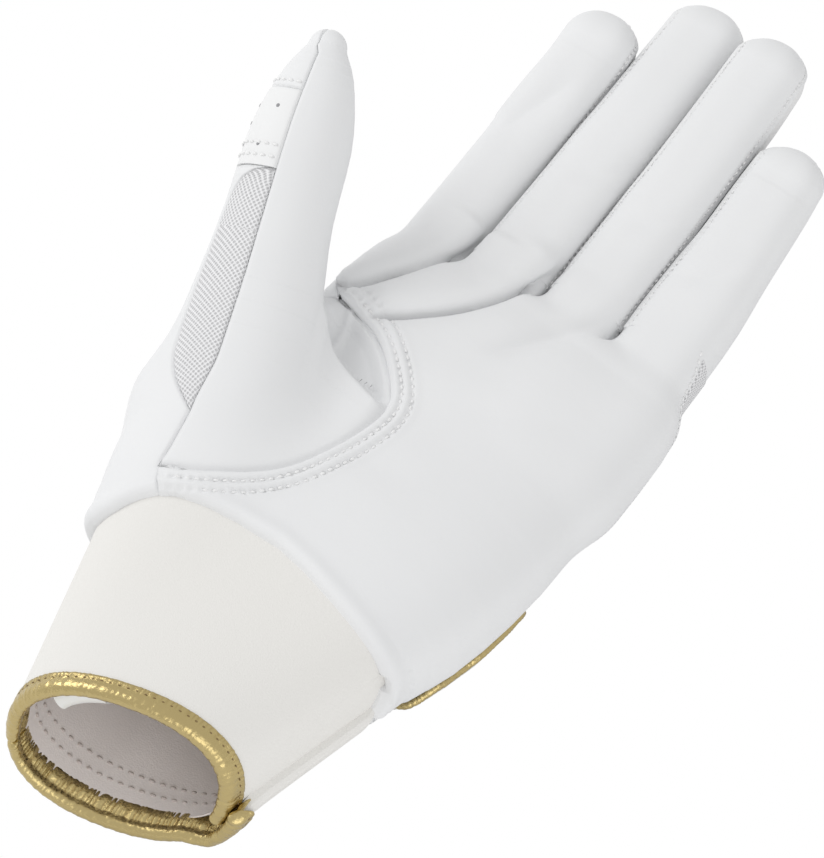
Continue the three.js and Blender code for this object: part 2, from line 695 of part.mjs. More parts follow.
// Thumb tip: front leather, perforated leather behind, and a plain cap past the cross seam
const thumbEnd = stationAt(thumbLimb, thumbTubeShare);
const thumbWay = (angle) => plus(scaled(thumbEnd.right, sin(angle)), thumbEnd.top, cos(angle));
const thumbSideways = thumbWay((thumbFrontSeam + thumbFarSeam) / 2 + 90);
const thumbCap = ([from, to], ends) =>
  steps(capRows - 1)
    .slice(1)
    .map((t) =>
      steps(thenarCols).map((u) => {
        const w = mix(...ends, u);
        const end = plus(scaled(thumbSideways, sin(w)), thumbEnd.run, cos(w));
        return cast(handSkin, thumbEnd.centre, mix(thumbWay(mix(from, to, u)), end, t));
      }),
    );
const frontTip = [
  ...thumbGrid(steps(capRows, thumbKnuckleShare, thumbTubeShare), frontEdges, thenarCols),
  ...thumbCap(frontEdges(), [-thumbTipMeet, thumbTipMeet]),
];
const nailSide = [
  ...thumbGrid(steps(2, thumbCrossShare, thumbTubeShare), backEdges, thenarCols),
  ...thumbCap(backEdges(), [thumbTipMeet, -thumbTipMeet]),
];
const holedShares = steps(thumbMidRows, thumbKnuckleShare, thumbCrossShare);
addPart("thumb_front_tip", panel(frontTip, handSkin, leather), white);
addPart("thumb_perforated_leather", thumbPanel(holedShares, backEdges, thenarCols, leather), white);
addPart("thumb_tip_cap", panel(nailSide, handSkin, leather), white);

// Cuff: rays from a ring under the wrist seam to the slanted opening
const wristRing = (angle) => {
  const way = [opening.round * sin(angle), 0, cos(angle)];
  const point = (y) => cast(handSkin, [opening.x, y, opening.z], way);
  const p = point(settle(point, wristY, wristSide));
  const inward = unit([opening.x - p[0], 0, opening.z - p[2]]);
  return plus([p[0], p[1] + cuffTuck, p[2]], inward, leather + 3 * layerGap);
};
const openingRing = (angle) => {
  const curve = (v) => Math.sign(v) * Math.abs(v) ** opening.power;
  const [x, z] = [opening.x + opening.wide * curve(sin(angle)), opening.thick * curve(cos(angle))];
  return [x, opening.y + openingSlants[0] * x + openingSlants[1] * z, opening.z + z];
};
function cuffPoint(angle, share, rise) {
  const p = mix(wristRing(angle), openingRing(angle), share);
  const out = unit([(p[0] - opening.x) / opening.round ** 2, 0, p[2] - opening.z]);
  return plus(p, out, rise);
}
function cuffSheet(angles, shares, riseAt, thickness, startAt = () => 0) {
  const layer = (drop) =>
    shares.map((s) =>
      angles.map((a) => {
        const share = mix(startAt(a), 1, s);
        return cuffPoint(a, share, riseAt(a, share) - drop);
      }),
    );
  return sheetBetween(layer(0), layer(thickness));
}
const level = () => 0;
const lapShare = (angle) => smooth((angle - flapLap[0]) / (flapLap[1] - flapLap[0]));
const flapRise = (angle, share) => lapShare(angle) * mix(neoprene, 2 * bindingRadius, share) + lapShare(angle) * layerGap;
const flapStart = (angle) => flapStartShare * smooth(2 * lapShare(angle));
const [frontAngles, backAngles] = [steps(cuffCols[0], ...cuffFront), steps(cuffCols[1], ...cuffBack)];
addPart("cuff_front", cuffSheet(frontAngles, steps(cuffRows), level, neoprene), cream);
addPart("cuff_back_flap", cuffSheet(backAngles, steps(cuffRows), flapRise, neoprene, flapStart), cream);

// Gold bindings rolled over the cuff edges
const bindingDrop = bindingRadius + seamGap;
const rimPoint = (angle, riseAt) => {
  const [x, y, z] = cuffPoint(angle, 1, riseAt(angle, 1) - neoprene / 2);
  return [x, y - bindingDrop, z];
};
const binding = (angles, riseAt, turns) => cord(angles.map((a) => rimPoint(a, riseAt)), bindingRadius, 8, turns);
addPart("binding_front", binding(frontAngles, level, 30), gold, 0.35);
addPart("binding_back", binding(backAngles, flapRise, 26), gold, 0.35);

// Folded label inside the cuff
const labelRise = () => -neoprene - layerGap;
const label = cuffSheet(steps(4, ...labelAngles), steps(2, ...labelShares), labelRise, labelThick);
addPart("inner_label", label, white);

// Strap: a sewn root and a free end that lies over the two closure patches
const patchRise = [patchThick + layerGap, 2 * (patchThick + layerGap)];
const strapLow = strapThick + layerGap;
const strapHigh = patchRise[1] + strapLow;
const strapRise = (share) => {
  const end = smooth(share / strapRiseShare);
  const root = 1 - smooth((share - strapHingeShare) / strapFallShare);
  return mix(strapLow, strapHigh, share < strapHingeShare ? end : root);
};
const strapMiddle = (strapYs[0] + strapYs[1]) / 2;
const strapHalf = (strapYs[1] - strapYs[0]) / 2;
const strapEndShare = (y) => {
  const u = Math.min(1, Math.abs(y - strapMiddle) / strapHalf);
  return strapRoundShare * (1 - (1 - u ** strapRoundPower) ** (1 / strapRoundPower));
};
const strapLines = steps(strapRows, -90, 90).map((a) => strapMiddle + strapHalf * sin(a));
function layered(from, to, cols, ys, riseAt, thickness) {
  const layer = (drop) =>
    ys.map((y) =>
      steps(cols, from(y), to).map((share) => {
        const p = backPoint(share, y, strapWrap);
        return plus(p, outward(handSkin, p), riseAt(share) - drop);
      }),
    );
  return sheetBetween(layer(0), layer(thickness));
}
const [rootCols, endCols] = strapCols;
const rootFrom = () => strapHingeShare + strapCutShare;
const endTo = strapHingeShare - strapCutShare;
const root = layered(rootFrom, strapRootShare, rootCols, strapLines, strapRise, strapThick);
addPart("strap_root", root, white);
addPart("strap_end", layered(strapEndShare, endTo, endCols, strapLines, strapRise, strapThick), white);
const patch = (rise) => layered(() => patchShares[0], patchShares[1], 5, steps(3, ...patchYs), () => rise, patchThick);
addPart("loop_patch", patch(patchRise[0]), grey, 0.95);
addPart("hook_patch", patch(patchRise[1]), grey, 0.95);

// Gold binding round the three free edges of the strap end
const sideShares = steps(5, strapBindingShare, strapRoundShare).slice(0, -1);
const strapOutline = [
  ...sideShares.map((s) => [s, strapYs[0]]),
  ...strapLines.map((y) => [strapEndShare(y), y]),
  ...sideShares.reverse().map((s) => [s, strapYs[1]]),
];
const strapEdge = strapOutline.map(([share, y]) => {
  const p = backPoint(share, y, strapWrap);
  const normal = outward(handSkin, p);
  return { normal, at: plus(p, normal, strapRise(share) - strapThick / 2) };
});
const strapRim = strapEdge.map(({ normal, at }, i) => {
  const last = strapEdge.length - 1;
  const tangent = minus(strapEdge[Math.min(i + 1, last)].at, strapEdge[Math.max(i - 1, 0)].at);
  return plus(at, unit(cross(normal, tangent)), strapBindingRadius + seamGap);
});
addPart("strap_binding", cord(strapRim, strapBindingRadius, 8, 36), gold, 0.35);

// Badge: a plain rounded plate seated on the lowest part of the strap root under it
const badgeHalf = badgeSize.map((v) => v / 2);
const under = ({ x, y }) => [x, y].every((v, k) => Math.abs(v - badgeCentre[k]) < badgeHalf[k] + badgeRound);
const rootPoints = root.getAttribute("position");
const rootCorners = Array.from({ length: rootPoints.count }, (_, i) => new THREE.Vector3().fromBufferAttribute(rootPoints, i));
const seat = Math.min(...rootCorners.filter(under).map(({ z }) => z)) - layerGap;
const badgeOutline = new THREE.Shape();
const [badgeX, badgeY] = badgeHalf.map((v) => v - badgeRound);
badgeOutline.absarc(badgeX, badgeY, badgeRound, 0, Math.PI / 2);
badgeOutline.absarc(-badgeX, badgeY, badgeRound, Math.PI / 2, Math.PI);
badgeOutline.absarc(-badgeX, -badgeY, badgeRound, Math.PI, 1.5 * Math.PI);
badgeOutline.absarc(badgeX, -badgeY, badgeRound, 1.5 * Math.PI, 2 * Math.PI);
const badge = new THREE.ExtrudeGeometry(badgeOutline, { depth: badgeThick, curveSegments: 5, bevelEnabled: false });
badge.translate(...badgeCentre, seat - badgeThick);
addPart("strap_badge", badge, white, 0.5);

// The flat outer face of the badge is the origin
glove.position.set(-badgeCentre[0], -badgeCentre[1], badgeThick - seat);

export default glove;
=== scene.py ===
import math

import bpy
import numpy as np
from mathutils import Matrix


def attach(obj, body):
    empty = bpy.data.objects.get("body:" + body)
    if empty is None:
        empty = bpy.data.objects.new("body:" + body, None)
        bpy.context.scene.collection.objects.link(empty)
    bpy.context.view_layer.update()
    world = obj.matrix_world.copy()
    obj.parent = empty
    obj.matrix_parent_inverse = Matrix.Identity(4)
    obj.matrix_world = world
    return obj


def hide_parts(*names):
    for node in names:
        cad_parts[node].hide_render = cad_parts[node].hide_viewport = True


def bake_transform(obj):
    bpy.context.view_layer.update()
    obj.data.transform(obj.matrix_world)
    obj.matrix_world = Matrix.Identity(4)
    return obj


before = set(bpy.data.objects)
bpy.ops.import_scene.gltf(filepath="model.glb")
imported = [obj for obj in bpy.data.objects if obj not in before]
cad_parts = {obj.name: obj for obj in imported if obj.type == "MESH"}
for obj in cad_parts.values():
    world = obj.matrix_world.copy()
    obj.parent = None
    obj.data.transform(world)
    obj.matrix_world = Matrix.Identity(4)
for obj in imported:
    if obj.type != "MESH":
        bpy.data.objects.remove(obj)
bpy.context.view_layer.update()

# ---------------------------------------------------------------------------
# Camera, floor and light.
# The glove lies palm up on a white table and is seen from its little-finger
# side, under even studio light from large lamps.
camera_azimuth, camera_elevation = 35.8, 57.0
camera_distance = 1.3
camera_aim = np.array([-0.001, 0.050, 0.00222])
pixels_per_metre, picture_height = 4250, 858
sensor_size, sight_limit = 36, 20
studio_glow = 0.765

turn, rise = math.radians(camera_azimuth), math.radians(camera_elevation)
towards_camera = np.array([math.sin(turn) * math.cos(rise), -math.cos(turn) * math.cos(rise), math.sin(rise)])
camera_data = bpy.data.cameras.new("camera")
camera = bpy.data.objects.new("camera", camera_data)
bpy.context.collection.objects.link(camera)
bpy.context.scene.camera = camera
camera_data.sensor_width = sensor_size
camera_data.lens = sensor_size * pixels_per_metre * camera_distance / picture_height
camera_data.clip_end = sight_limit
camera.location = camera_aim + towards_camera * camera_distance
camera.rotation_mode = "XYZ"
camera.rotation_euler = (math.pi / 2 - rise, 0, turn)

bpy.context.scene.view_settings.view_transform = "Standard"
world = bpy.data.worlds.new("studio")
bpy.context.scene.world = world
world.use_nodes = True
world.node_tree.nodes["Background"].inputs["Color"].default_value = (1, 1, 1, 1)
world.node_tree.nodes["Background"].inputs["Strength"].default_value = studio_glow


def studio_lamp(name, azimuth, elevation, distance, size, power):
    """A round lamp that faces the glove."""
    a, e = math.radians(azimuth), math.radians(elevation)
    data = bpy.data.lights.new(name, "AREA")
    data.shape, data.size, data.energy = "DISK", size, power
    lamp = bpy.data.objects.new(name, data)
    bpy.context.collection.objects.link(lamp)
    lamp.location = [
        distance * math.sin(a) * math.cos(e),
        camera_aim[1] - distance * math.cos(a) * math.cos(e),
        distance * math.sin(e),
    ]
    lamp.rotation_mode = "XYZ"
    lamp.rotation_euler = (math.pi / 2 - e, 0, a)


studio_lamp("key_lamp", azimuth=-84, elevation=42, distance=1.2, size=0.8, power=4.6)
studio_lamp("fill_lamp", azimuth=50, elevation=20, distance=1.3, size=0.9, power=2.9)


def new_material(name, colour, roughness):
    material = bpy.data.materials.new(name)
    material.use_nodes = True
    shader = material.node_tree.nodes["Principled BSDF"]
    shader.inputs["Base Color"].default_value = (*colour, 1)
    shader.inputs["Roughness"].default_value = roughness
    return material, material.node_tree, shader


floor_half, floor_drop = 3, 0.0006
floor_mesh = bpy.data.meshes.new("floor")
floor_corners = [(x * floor_half, y * floor_half, -floor_drop) for x, y in ((-1, -1), (1, -1), (1, 1), (-1, 1))]
floor_mesh.from_pydata(floor_corners, [], [(0, 1, 2, 3)])
floor = bpy.data.objects.new("floor", floor_mesh)
bpy.context.collection.objects.link(floor)
floor_material, floor_tree, floor_shader = new_material("white_table", (0.9, 0.9, 0.9), 0.9)
floor_mesh.materials.append(floor_material)
table_glow = floor_tree.nodes.new("ShaderNodeEmission")
table_rays = floor_tree.nodes.new("ShaderNodeLightPath")
table_mix = floor_tree.nodes.new("ShaderNodeMixShader")
floor_tree.links.new(table_rays.outputs["Is Camera Ray"], table_mix.inputs["Fac"])
floor_tree.links.new(floor_shader.outputs["BSDF"], table_mix.inputs[1])
floor_tree.links.new(table_glow.outputs["Emission"], table_mix.inputs[2])
floor_tree.links.new(table_mix.outputs["Shader"], floor_tree.nodes["Material Output"].inputs["Surface"])

# ---------------------------------------------------------------------------
# The hand that the glove is cut for.
# Palm, thumb and fingers are oval limbs along smooth lines, in millimetres,
# run together with soft valleys; every leather and knit panel lies on them.
glove_place = np.array([3.0, 1.0, 2.22])

# Palm and thumb rows: x, y, z, half width and half depth, each as a share of the number it is multiplied by
palm_rows = np.array([
    [0.033, -0.4, 0.575, 0.406, 0.488],
    [0.036, -0.18, 0.575, 0.456, 0.495],
    [0.061, 0.02, 0.538, 0.496, 0.49],
    [0.087, 0.25, 0.488, 0.496, 0.45],
    [0.102, 0.5, 0.45, 0.469, 0.375],
    [0.109, 0.66, 0.438, 0.442, 0.3],
    [0.111, 0.75, 0.438, 0.417, 0.225],
]) * [90, 100, 40, 90, 40]
thumb_rows = np.array([
    [-0.146, -0.254, 0.217, 0.421, 0.342],
    [-0.193, -0.0725, 0.233, 0.5, 0.421],
    [-0.249, 0.11, 0.275, 0.487, 0.461],
    [-0.313, 0.2825, 0.333, 0.408, 0.382],
    [-0.3675, 0.431, 0.408, 0.337, 0.311],
    [-0.418, 0.58, 0.475, 0.316, 0.284],
    [-0.45, 0.679, 0.521, 0.226, 0.211],
    [-0.472, 0.738, 0.543, 0.121, 0.116],
]) * [120, 120, 120, 38, 38]

# Fingers: x of the middle line, half widths, heights and half depths at the root and near the tip, y of the tip,
# y of the middle joint, and how far the finger drifts sideways
finger_sizes = {
    "index": dict(x=-21.2, wide=(9.1, 9.1), z=(17.5, 27), thick=(9.8, 8.8), tip=159.5, bend=119, lean=0),
    "middle": dict(x=-2.0, wide=(9.6, 9.5), z=(19, 26), thick=(9.9, 8.8), tip=176.5, bend=128, lean=0),
    "ring": dict(x=17.6, wide=(9.5, 9.1), z=(17.5, 30), thick=(9.5, 8.6), tip=174.5, bend=127.5, lean=-0.2),
    "little": dict(x=38.5, wide=(10.9, 8.8), z=(16, 25), thick=(9.2, 8), tip=154, bend=121, lean=-1.9),
}

# The line of the webs, as x and y
web_line = np.array([[-31.0, 83], [-11.85, 83], [7.85, 87.5], [27.35, 88.5], [51.25, 96]])


def unit(v):
    """Vectors of length 1 along v."""
    return v / np.maximum(np.linalg.norm(v, axis=-1, keepdims=True), 1e-12)


def smooth(t):
    """An even ramp from 0 to 1."""
    t = np.clip(t, 0, 1)
    return t * t * (3 - 2 * t)


def hump(distance, width):
    """A rounded hump, 1 at its middle."""
    return np.exp(-((distance / width) ** 2))


def mix(a, b, t):
    return a + (b - a) * t


def spline(rows, u):
    """Rows read at row numbers u along a smooth curve through them."""
    rows = np.asarray(rows, float)
    knots = np.vstack([2 * rows[0] - rows[1], rows, 2 * rows[-1] - rows[-2]])
    u = np.clip(np.asarray(u, float), 0, len(rows) - 1)
    i = np.minimum(u.astype(int), len(rows) - 2)
    f = (u - i)[..., None]
    a, b, c, d = (knots[i + q] for q in range(4))
    return (2 * b + (c - a) * f + (2 * a - 5 * b + 4 * c - d) * f**2 + (3 * b - a - 3 * c + d) * f**3) / 2


def limb(rows, up, samples, power, blunt):
    """An oval limb along rows of x, y, z, half width and half depth."""
    stations = spline(rows, np.linspace(0, len(rows) - 1, samples))
    centres = stations[:, :3]
    after, before = np.vstack([centres[1:], centres[-1:]]), np.vstack([centres[:1], centres[:-1]])
    run = unit(after - before)
    right = unit(np.cross(run, up))
    return dict(centres=centres, sizes=stations[:, 3:], run=run, right=right, top=np.cross(right, run),
                power=power, blunt=blunt, samples=samples)


def station(part, share):
    """Centre, right, top, run and sizes of a limb at shares of its length."""
    x = np.clip(np.asarray(share, float), 0, 1) * (part["samples"] - 1)
    i = np.minimum(x.astype(int), part["samples"] - 2)
    f = (x - i)[..., None]
    return [mix(part[k][i], part[k][i + 1], f) for k in ("centres", "right", "top", "run", "sizes")]


def limb_distance(part, p):
    """Distance of points from a limb's surface, less than 0 inside."""
    starts, steps = part["centres"][:-1], np.diff(part["centres"], axis=0)
    size = (steps**2).sum(1)
    lead = p @ steps.T - (starts * steps).sum(1)
    t = np.clip(lead / size, 0, 1)
    nearest = (t * t * size - 2 * t * lead - 2 * (p @ starts.T) + (starts**2).sum(1)).argmin(1)
    share = (nearest + t[np.arange(len(p)), nearest]) / (part["samples"] - 1)
    centre, right, top, run, sizes = station(part, share)
    q, least = p - centre, sizes.min(1)
    x = np.abs((q * right).sum(1)) / sizes[:, 0]
    z = np.abs((q * top).sum(1)) / sizes[:, 1]
    y = np.abs((q * run).sum(1)) / (least * part["blunt"])
    e = part["power"]
    return (np.sqrt((x**e + z**e) ** (2 / e) + y**2) - 1) * least


def joined(a, b, size):
    """Two distances run together with a soft valley of a given size."""
    h = np.clip(0.5 + (b - a) / (2 * size), 0, 1)
    return mix(b, a, h) - size * h * (1 - h)


palm_limb = limb(palm_rows, (0, 0, 1), 17, 2.6, 1)
thumb_limb = limb(thumb_rows, (0.25, -0.3, 1), 25, 2.1, 1)
for finger in finger_sizes.values():
    (w0, w1), (z0, z1), (h0, h1) = finger["wide"], finger["z"], finger["thick"]
    finger["cap_from"] = finger["tip"] - w1 * 1.15
    x0, x1 = finger["x"], finger["x"] + finger["lean"]
    rows = [(x0, 50, z0, w0, h0 + 1), (x0, 78, z0, w0, h0 + 0.4)]
    for at, climb, drift, taper, pad in (
            (0.25, 0.2, 0.3, 0, 0), (0.5, 0.45, 0.6, 0.5, 0.2), (0.76, 0.75, 1, 0.85, 0.2)):
        rows.append((mix(x0, x1, drift), mix(86, finger["tip"], at), mix(z0, z1, climb), mix(w0, w1, taper),
                     mix(h0, h1, min(1, 2 * taper)) + pad))
    rows.append((x1, finger["cap_from"], z1, w1, h1 - 0.8))
    finger["limb"] = limb(rows, (0, 0, 1), 17, 2.9, 1.15)


def web_y(x):
    return np.interp(x, web_line[:, 0], web_line[:, 1])


def hand_skin(p):
    """Distance of points from the skin of the whole hand."""
    d = None
    for finger, web in zip(finger_sizes.values(), (0, 83, 87.5, 88.5)):
        own = limb_distance(finger["limb"], p)
        d = own if d is None else joined(d, own, 0.6 + 11 * smooth((web + 2 - p[:, 1]) / 15))
    d = joined(d, limb_distance(palm_limb, p), 0.5 + 9.5 * smooth((96 - p[:, 1]) / 30))
    return joined(d, limb_distance(thumb_limb, p), 8)


def cast(skin, origins, ways):
    """Where rays from inside first leave a skin."""
    origins, ways = np.broadcast_arrays(np.asarray(origins, float), np.asarray(ways, float))
    shape, o, w = origins.shape, origins.reshape(-1, 3), unit(ways.reshape(-1, 3))
    near, far = np.zeros(len(o)), np.full(len(o), -1.0)
    reach, stride, longest, halvings = 0.0, 4.0, 90, 13
    while (far < 0).any() and reach < longest:
        reach += stride
        left = np.flatnonzero(far < 0)
        out = left[skin(o[left] + w[left] * reach) > 0]
        far[out], near[out] = reach, reach - stride
    for _ in range(halvings):
        half = (near + far) / 2
        outside = skin(o + w * half[:, None]) > 0
        far[outside], near[~outside] = half[outside], half[~outside]
    return (o + w * ((near + far) / 2)[:, None]).reshape(shape)


def laid_on(skin, points):
    """Points moved onto a skin along its own slope."""
    p, feel, longest_step = points.reshape(-1, 3).copy(), 0.05, 2.5
    for _ in range(9):
        f = skin(p)
        slope = np.stack([skin(p + feel * axis) - f for axis in np.eye(3)], -1) / feel
        step = (f / np.maximum((slope**2).sum(1), 0.05))[:, None] * slope
        p -= step * np.minimum(1, longest_step / np.maximum(np.linalg.norm(step, axis=1, keepdims=True), 1e-9))
    return p.reshape(points.shape)


def skin_out(points):
    """The way out of the hand's skin."""
    p, feel = points.reshape(-1, 3), 0.2
    slope = np.stack([hand_skin(p + feel * axis) - hand_skin(p - feel * axis) for axis in np.eye(3)], -1)
    return unit(slope).reshape(points.shape)


def turned(angle):
    """Ways out across the hand at angles from straight up, towards the little finger."""
    return np.stack([np.sin(np.radians(angle)), np.zeros_like(angle), np.cos(np.radians(angle))], -1)


# ---------------------------------------------------------------------------
# Palm leather.
# One piece of thin white sheepskin from the wrist seam to the finger webs,
# turned round the little-finger edge; its thumb side is folded under and
# stitched down with two rows over the thumb leather.
flat_rows = palm_rows[:, [1, 0, 2, 3]] - [0, 0, 0, 11]
palm_edge_shares, palm_edge_angles = (0.15, 0.84), (-125, 118)
back_edge_shares, back_edge_angles = (0.16, 0.85), (118, 235)
thumb_seam = [
    [-28.2, -15.4], [-24.2, -14.1], [-19.2, -11.4], [-14.3, -7.8], [-10.4, -4.4], [-6.8, -0.3], [-3.5, 5.2],
    [-0.8, 12.2], [1.2, 19.3], [2.3, 25.4], [2.3, 29.2], [1.6, 32.2], [0.2, 35], [-2.1, 37.9], [-4.8, 40.7],
    [-8.8, 44.2], [-13, 46.9], [-17.2, 48.8], [-21.9, 50.4], [-27.1, 52],
]
leather_thick = 1.1
wrist_start_share = 0.178
row_count, sub_rows = 13, 16


def flat_at(y):
    """Centre x and z of the hand at y, and half the width of its flat part."""
    return [np.interp(y, flat_rows[:, 0], flat_rows[:, k]) for k in (1, 2, 3)]


def edge_turn(share, shares, angles):
    """Angle of the way out at shares round a panel: straight over the flat, turning past its two edges."""
    left = angles[0] * (1 - share / shares[0])
    right = angles[1] * (share - shares[1]) / (1 - shares[1])
    return np.where(share < shares[0], left, np.where(share > shares[1], right, 0.0))


def palm_edge_share(angle):
    """The share at which the palm leather has turned by an angle round the little-finger edge."""
    return palm_edge_shares[1] + (1 - palm_edge_shares[1]) * angle / palm_edge_angles[1]


def palm_point(share, y):
    """Points of the palm side at shares from the thumb edge round to the little-finger edge."""
    x, z, flat = flat_at(y)
    angle = edge_turn(share, palm_edge_shares, palm_edge_angles)
    side = mix(-flat, flat, np.clip((share - palm_edge_shares[0]) / (palm_edge_shares[1] - palm_edge_shares[0]), 0, 1))
    return cast(hand_skin, np.stack([x + side, y, z], -1), turned(angle))


def back_point(share, y, start=back_edge_angles[0]):
    """Points of the back at shares from the little-finger edge round to the thumb edge."""
    x, z, flat = flat_at(y)
    angle = 180 + edge_turn(share, back_edge_shares, (start - 180, back_edge_angles[1] - 180))
    side = mix(flat, -flat, np.clip((share - back_edge_shares[0]) / (back_edge_shares[1] - back_edge_shares[0]), 0, 1))
    return cast(hand_skin, np.stack([x + side, y, z], -1), turned(angle))


def palm_share(p):
    """The shares at which points of the palm side lie."""
    cx, cz, flat = flat_at(p[..., 1])
    side = np.clip(p[..., 0] - cx, -flat, flat)
    angle = np.degrees(np.arctan2(p[..., 0] - cx - side, p[..., 2] - cz))
    low = palm_edge_shares[0] * (1 - angle / palm_edge_angles[0])
    high = palm_edge_share(angle)
    flat_share = mix(*palm_edge_shares, (side + flat) / (2 * flat))
    return np.where(side <= -flat, low, np.where(side >= flat, high, flat_share))


def thumb_point(share, angle):
    share, angle = np.broadcast_arrays(np.asarray(share, float), np.asarray(angle, float))
    centre, right, top, _, _ = station(thumb_limb, share)
    a = np.radians(angle)[..., None]
    return cast(hand_skin, centre, right * np.sin(a) + top * np.cos(a))


def finger_point(finger, y, angle):
    y, angle = np.broadcast_arrays(np.asarray(y, float), np.asarray(angle, float))
    line = finger["limb"]["centres"]
    origin = np.stack([np.interp(y, line[:, 1], line[:, 0]), y, np.interp(y, line[:, 1], line[:, 2])], -1)
    return cast(lambda p: limb_distance(finger["limb"], p), origin, turned(angle))


wrist_line = np.array([
    [-36, -31], [-32.5, -28.4], [-29.9, -25.6], [-27.4, -23.2], [-24.4, -21], [-20.3, -19.1], [-14.5, -17.5],
    [-5.3, -15.9], [5.8, -15.8], [14, -17.4], [20.9, -19.2], [28.1, -20.9], [35.3, -22.4], [40, -23.6], [44, -25.2],
])


wrist_back_y = -30


def wrist_y(x, z):
    """Where the leathers end at the wrist: along the curved line in front, straight across the back."""
    return mix(wrist_back_y, np.interp(x, wrist_line[:, 0], wrist_line[:, 1]), smooth((z - 12) / 16))


def settled(point, y_of, start, count):
    """Points whose y depends on where they lie: the ys and the points."""
    y = np.full(count, float(start))
    for _ in range(7):
        p = point(y)
        y = y_of(p)
    return y, point(y)


def web_row(finger, angles):
    """The first row of a finger at the web line, at angles round it."""
    return settled(lambda y: finger_point(finger, y, angles), lambda p: web_y(p[..., 0]), 88, len(angles))


def filled(bottom, top, left, right, u, v):
    """A grid between four edges, each given as points, with u along and v up."""
    u, v = u[None, :, None], v[:, None, None]
    ruled = mix(bottom[None], top[None], v)
    sides = mix(left[:, None], right[:, None], u)
    corners = mix(mix(bottom[0], bottom[-1], u), mix(top[0], top[-1], u), v)
    return ruled + sides - corners


def plan_point(plan):
    """Points of the palm's upper side over places in plan."""
    return cast(hand_skin, np.stack([plan[..., 0], plan[..., 1], flat_at(plan[..., 1])[1]], -1), [0, 0, 1])


def run_length(line):
    """How far along a line each of its points lies."""
    return np.concatenate([[0], np.cumsum(np.linalg.norm(np.diff(line, axis=0), axis=1))])


seam_line = plan_point(spline(thumb_seam, np.linspace(0, len(thumb_seam) - 1, 240)))
seam_length = run_length(seam_line)


def seam_at(r):
    """The thumb seam at row numbers 1 to 10."""
    at = (np.asarray(r) - 1) / 9 * seam_length[-1]
    return np.stack([np.interp(at, seam_length, seam_line[:, k]) for k in range(3)], -1)


def grid_normals(grid, outward):
    """Normals of a grid of points on its outward side."""
    n = np.cross(np.gradient(grid, axis=0), np.gradient(grid, axis=1))
    size = np.linalg.norm(n, axis=-1)
    n = unit(n) if (n * outward).sum() > 0 else -unit(n)
    if np.ndim(outward) == 3:
        weak = (size < 0.05 * np.median(size)) | ((n * outward).sum(-1) < 0.15 * np.linalg.norm(outward, axis=-1))
        n[weak] = unit(outward)[weak]
    return n


def lengths(grid, axis):
    """How far along its row or column each point of a grid lies."""
    step = np.linalg.norm(np.diff(grid, axis=axis), axis=-1)
    zero = np.zeros((1, grid.shape[1]) if axis == 0 else (grid.shape[0], 1))
    return np.concatenate([zero, np.cumsum(step, axis=axis)], axis=axis)


def edge_distances(grid):
    """Distances along the surface to the first row, last row, first column and last column."""
    down, across = lengths(grid, 0), lengths(grid, 1)
    return down, down[-1:] - down, across, across[:, -1:] - across


def tucked(distance, radius=0.9, depth=0.75):
    """How far an edge that turns under drops, by distance from it."""
    t = np.clip(1 - distance / radius, 0, 1)
    return depth * (1 - np.sqrt(1 - t * t))


def line_distance(points, line):
    """Distance of points from a polyline, and how far along it they are, 0 to 1."""
    line = np.asarray(line, float)
    shape, p = points.shape[:-1], points.reshape(-1, points.shape[-1])
    total = run_length(line)
    best, where = np.full(len(p), 1e18), np.zeros(len(p))
    for i, (a, b) in enumerate(zip(line[:-1], line[1:])):
        ab = b - a
        t = np.clip((p - a) @ ab / (ab @ ab), 0, 1)
        d = np.linalg.norm(p - a - t[:, None] * ab, axis=1)
        nearer = d < best
        best[nearer], where[nearer] = d[nearer], mix(total[i], total[i + 1], t[nearer]) / total[-1]
    return best.reshape(shape), where.reshape(shape)


crisp_angle = 62


def make_object(name, verts, faces, material, uv=None):
    """A mesh object from points of the hand's own frame, in millimetres."""
    mesh = bpy.data.meshes.new(name)
    mesh.from_pydata((np.asarray(verts) + glove_place) / 1000, [], faces)
    mesh.polygons.foreach_set("use_smooth", np.ones(len(mesh.polygons), bool))
    if uv is not None:
        layer = mesh.uv_layers.new(name="cloth")
        loops = np.zeros(len(mesh.loops), np.int32)
        mesh.loops.foreach_get("vertex_index", loops)
        layer.data.foreach_set("uv", np.asarray(uv, np.float32)[loops].ravel())
    mesh.materials.append(material)
    mesh.validate()
    mesh.set_sharp_from_angle(angle=math.radians(crisp_angle))
    obj = bpy.data.objects.new(name, mesh)
    bpy.context.collection.objects.link(obj)
    return obj


def sheet_faces(rows, cols):
    """Faces of a front grid, a rear grid and the four edges between them."""
    ids = np.arange(rows * cols).reshape(rows, cols)
    back = ids + rows * cols
    a, b, c, d = ids[:-1, :-1], ids[:-1, 1:], ids[1:, 1:], ids[1:, :-1]
    faces = [np.stack([a, b, c, d], -1).reshape(-1, 4)]
    a, b, c, d = back[:-1, :-1], back[1:, :-1], back[1:, 1:], back[:-1, 1:]
    faces.append(np.stack([a, b, c, d], -1).reshape(-1, 4))
    for front, rear in ((ids[::-1, 0], back[::-1, 0]), (ids[:, -1], back[:, -1]),
                        (ids[0], back[0]), (ids[-1, ::-1], back[-1, ::-1])):
        faces.append(np.stack([front[:-1], rear[:-1], rear[1:], front[1:]], -1)[:, ::-1])
    return np.concatenate(faces)


def inside_out(points, faces):
    """Whether a closed surface of four-sided faces points inwards."""
    a, b, c, d = (points[faces[:, k]] for k in range(4))
    return (a * np.cross(b, c)).sum() + (a * np.cross(c, d)).sum() < 0


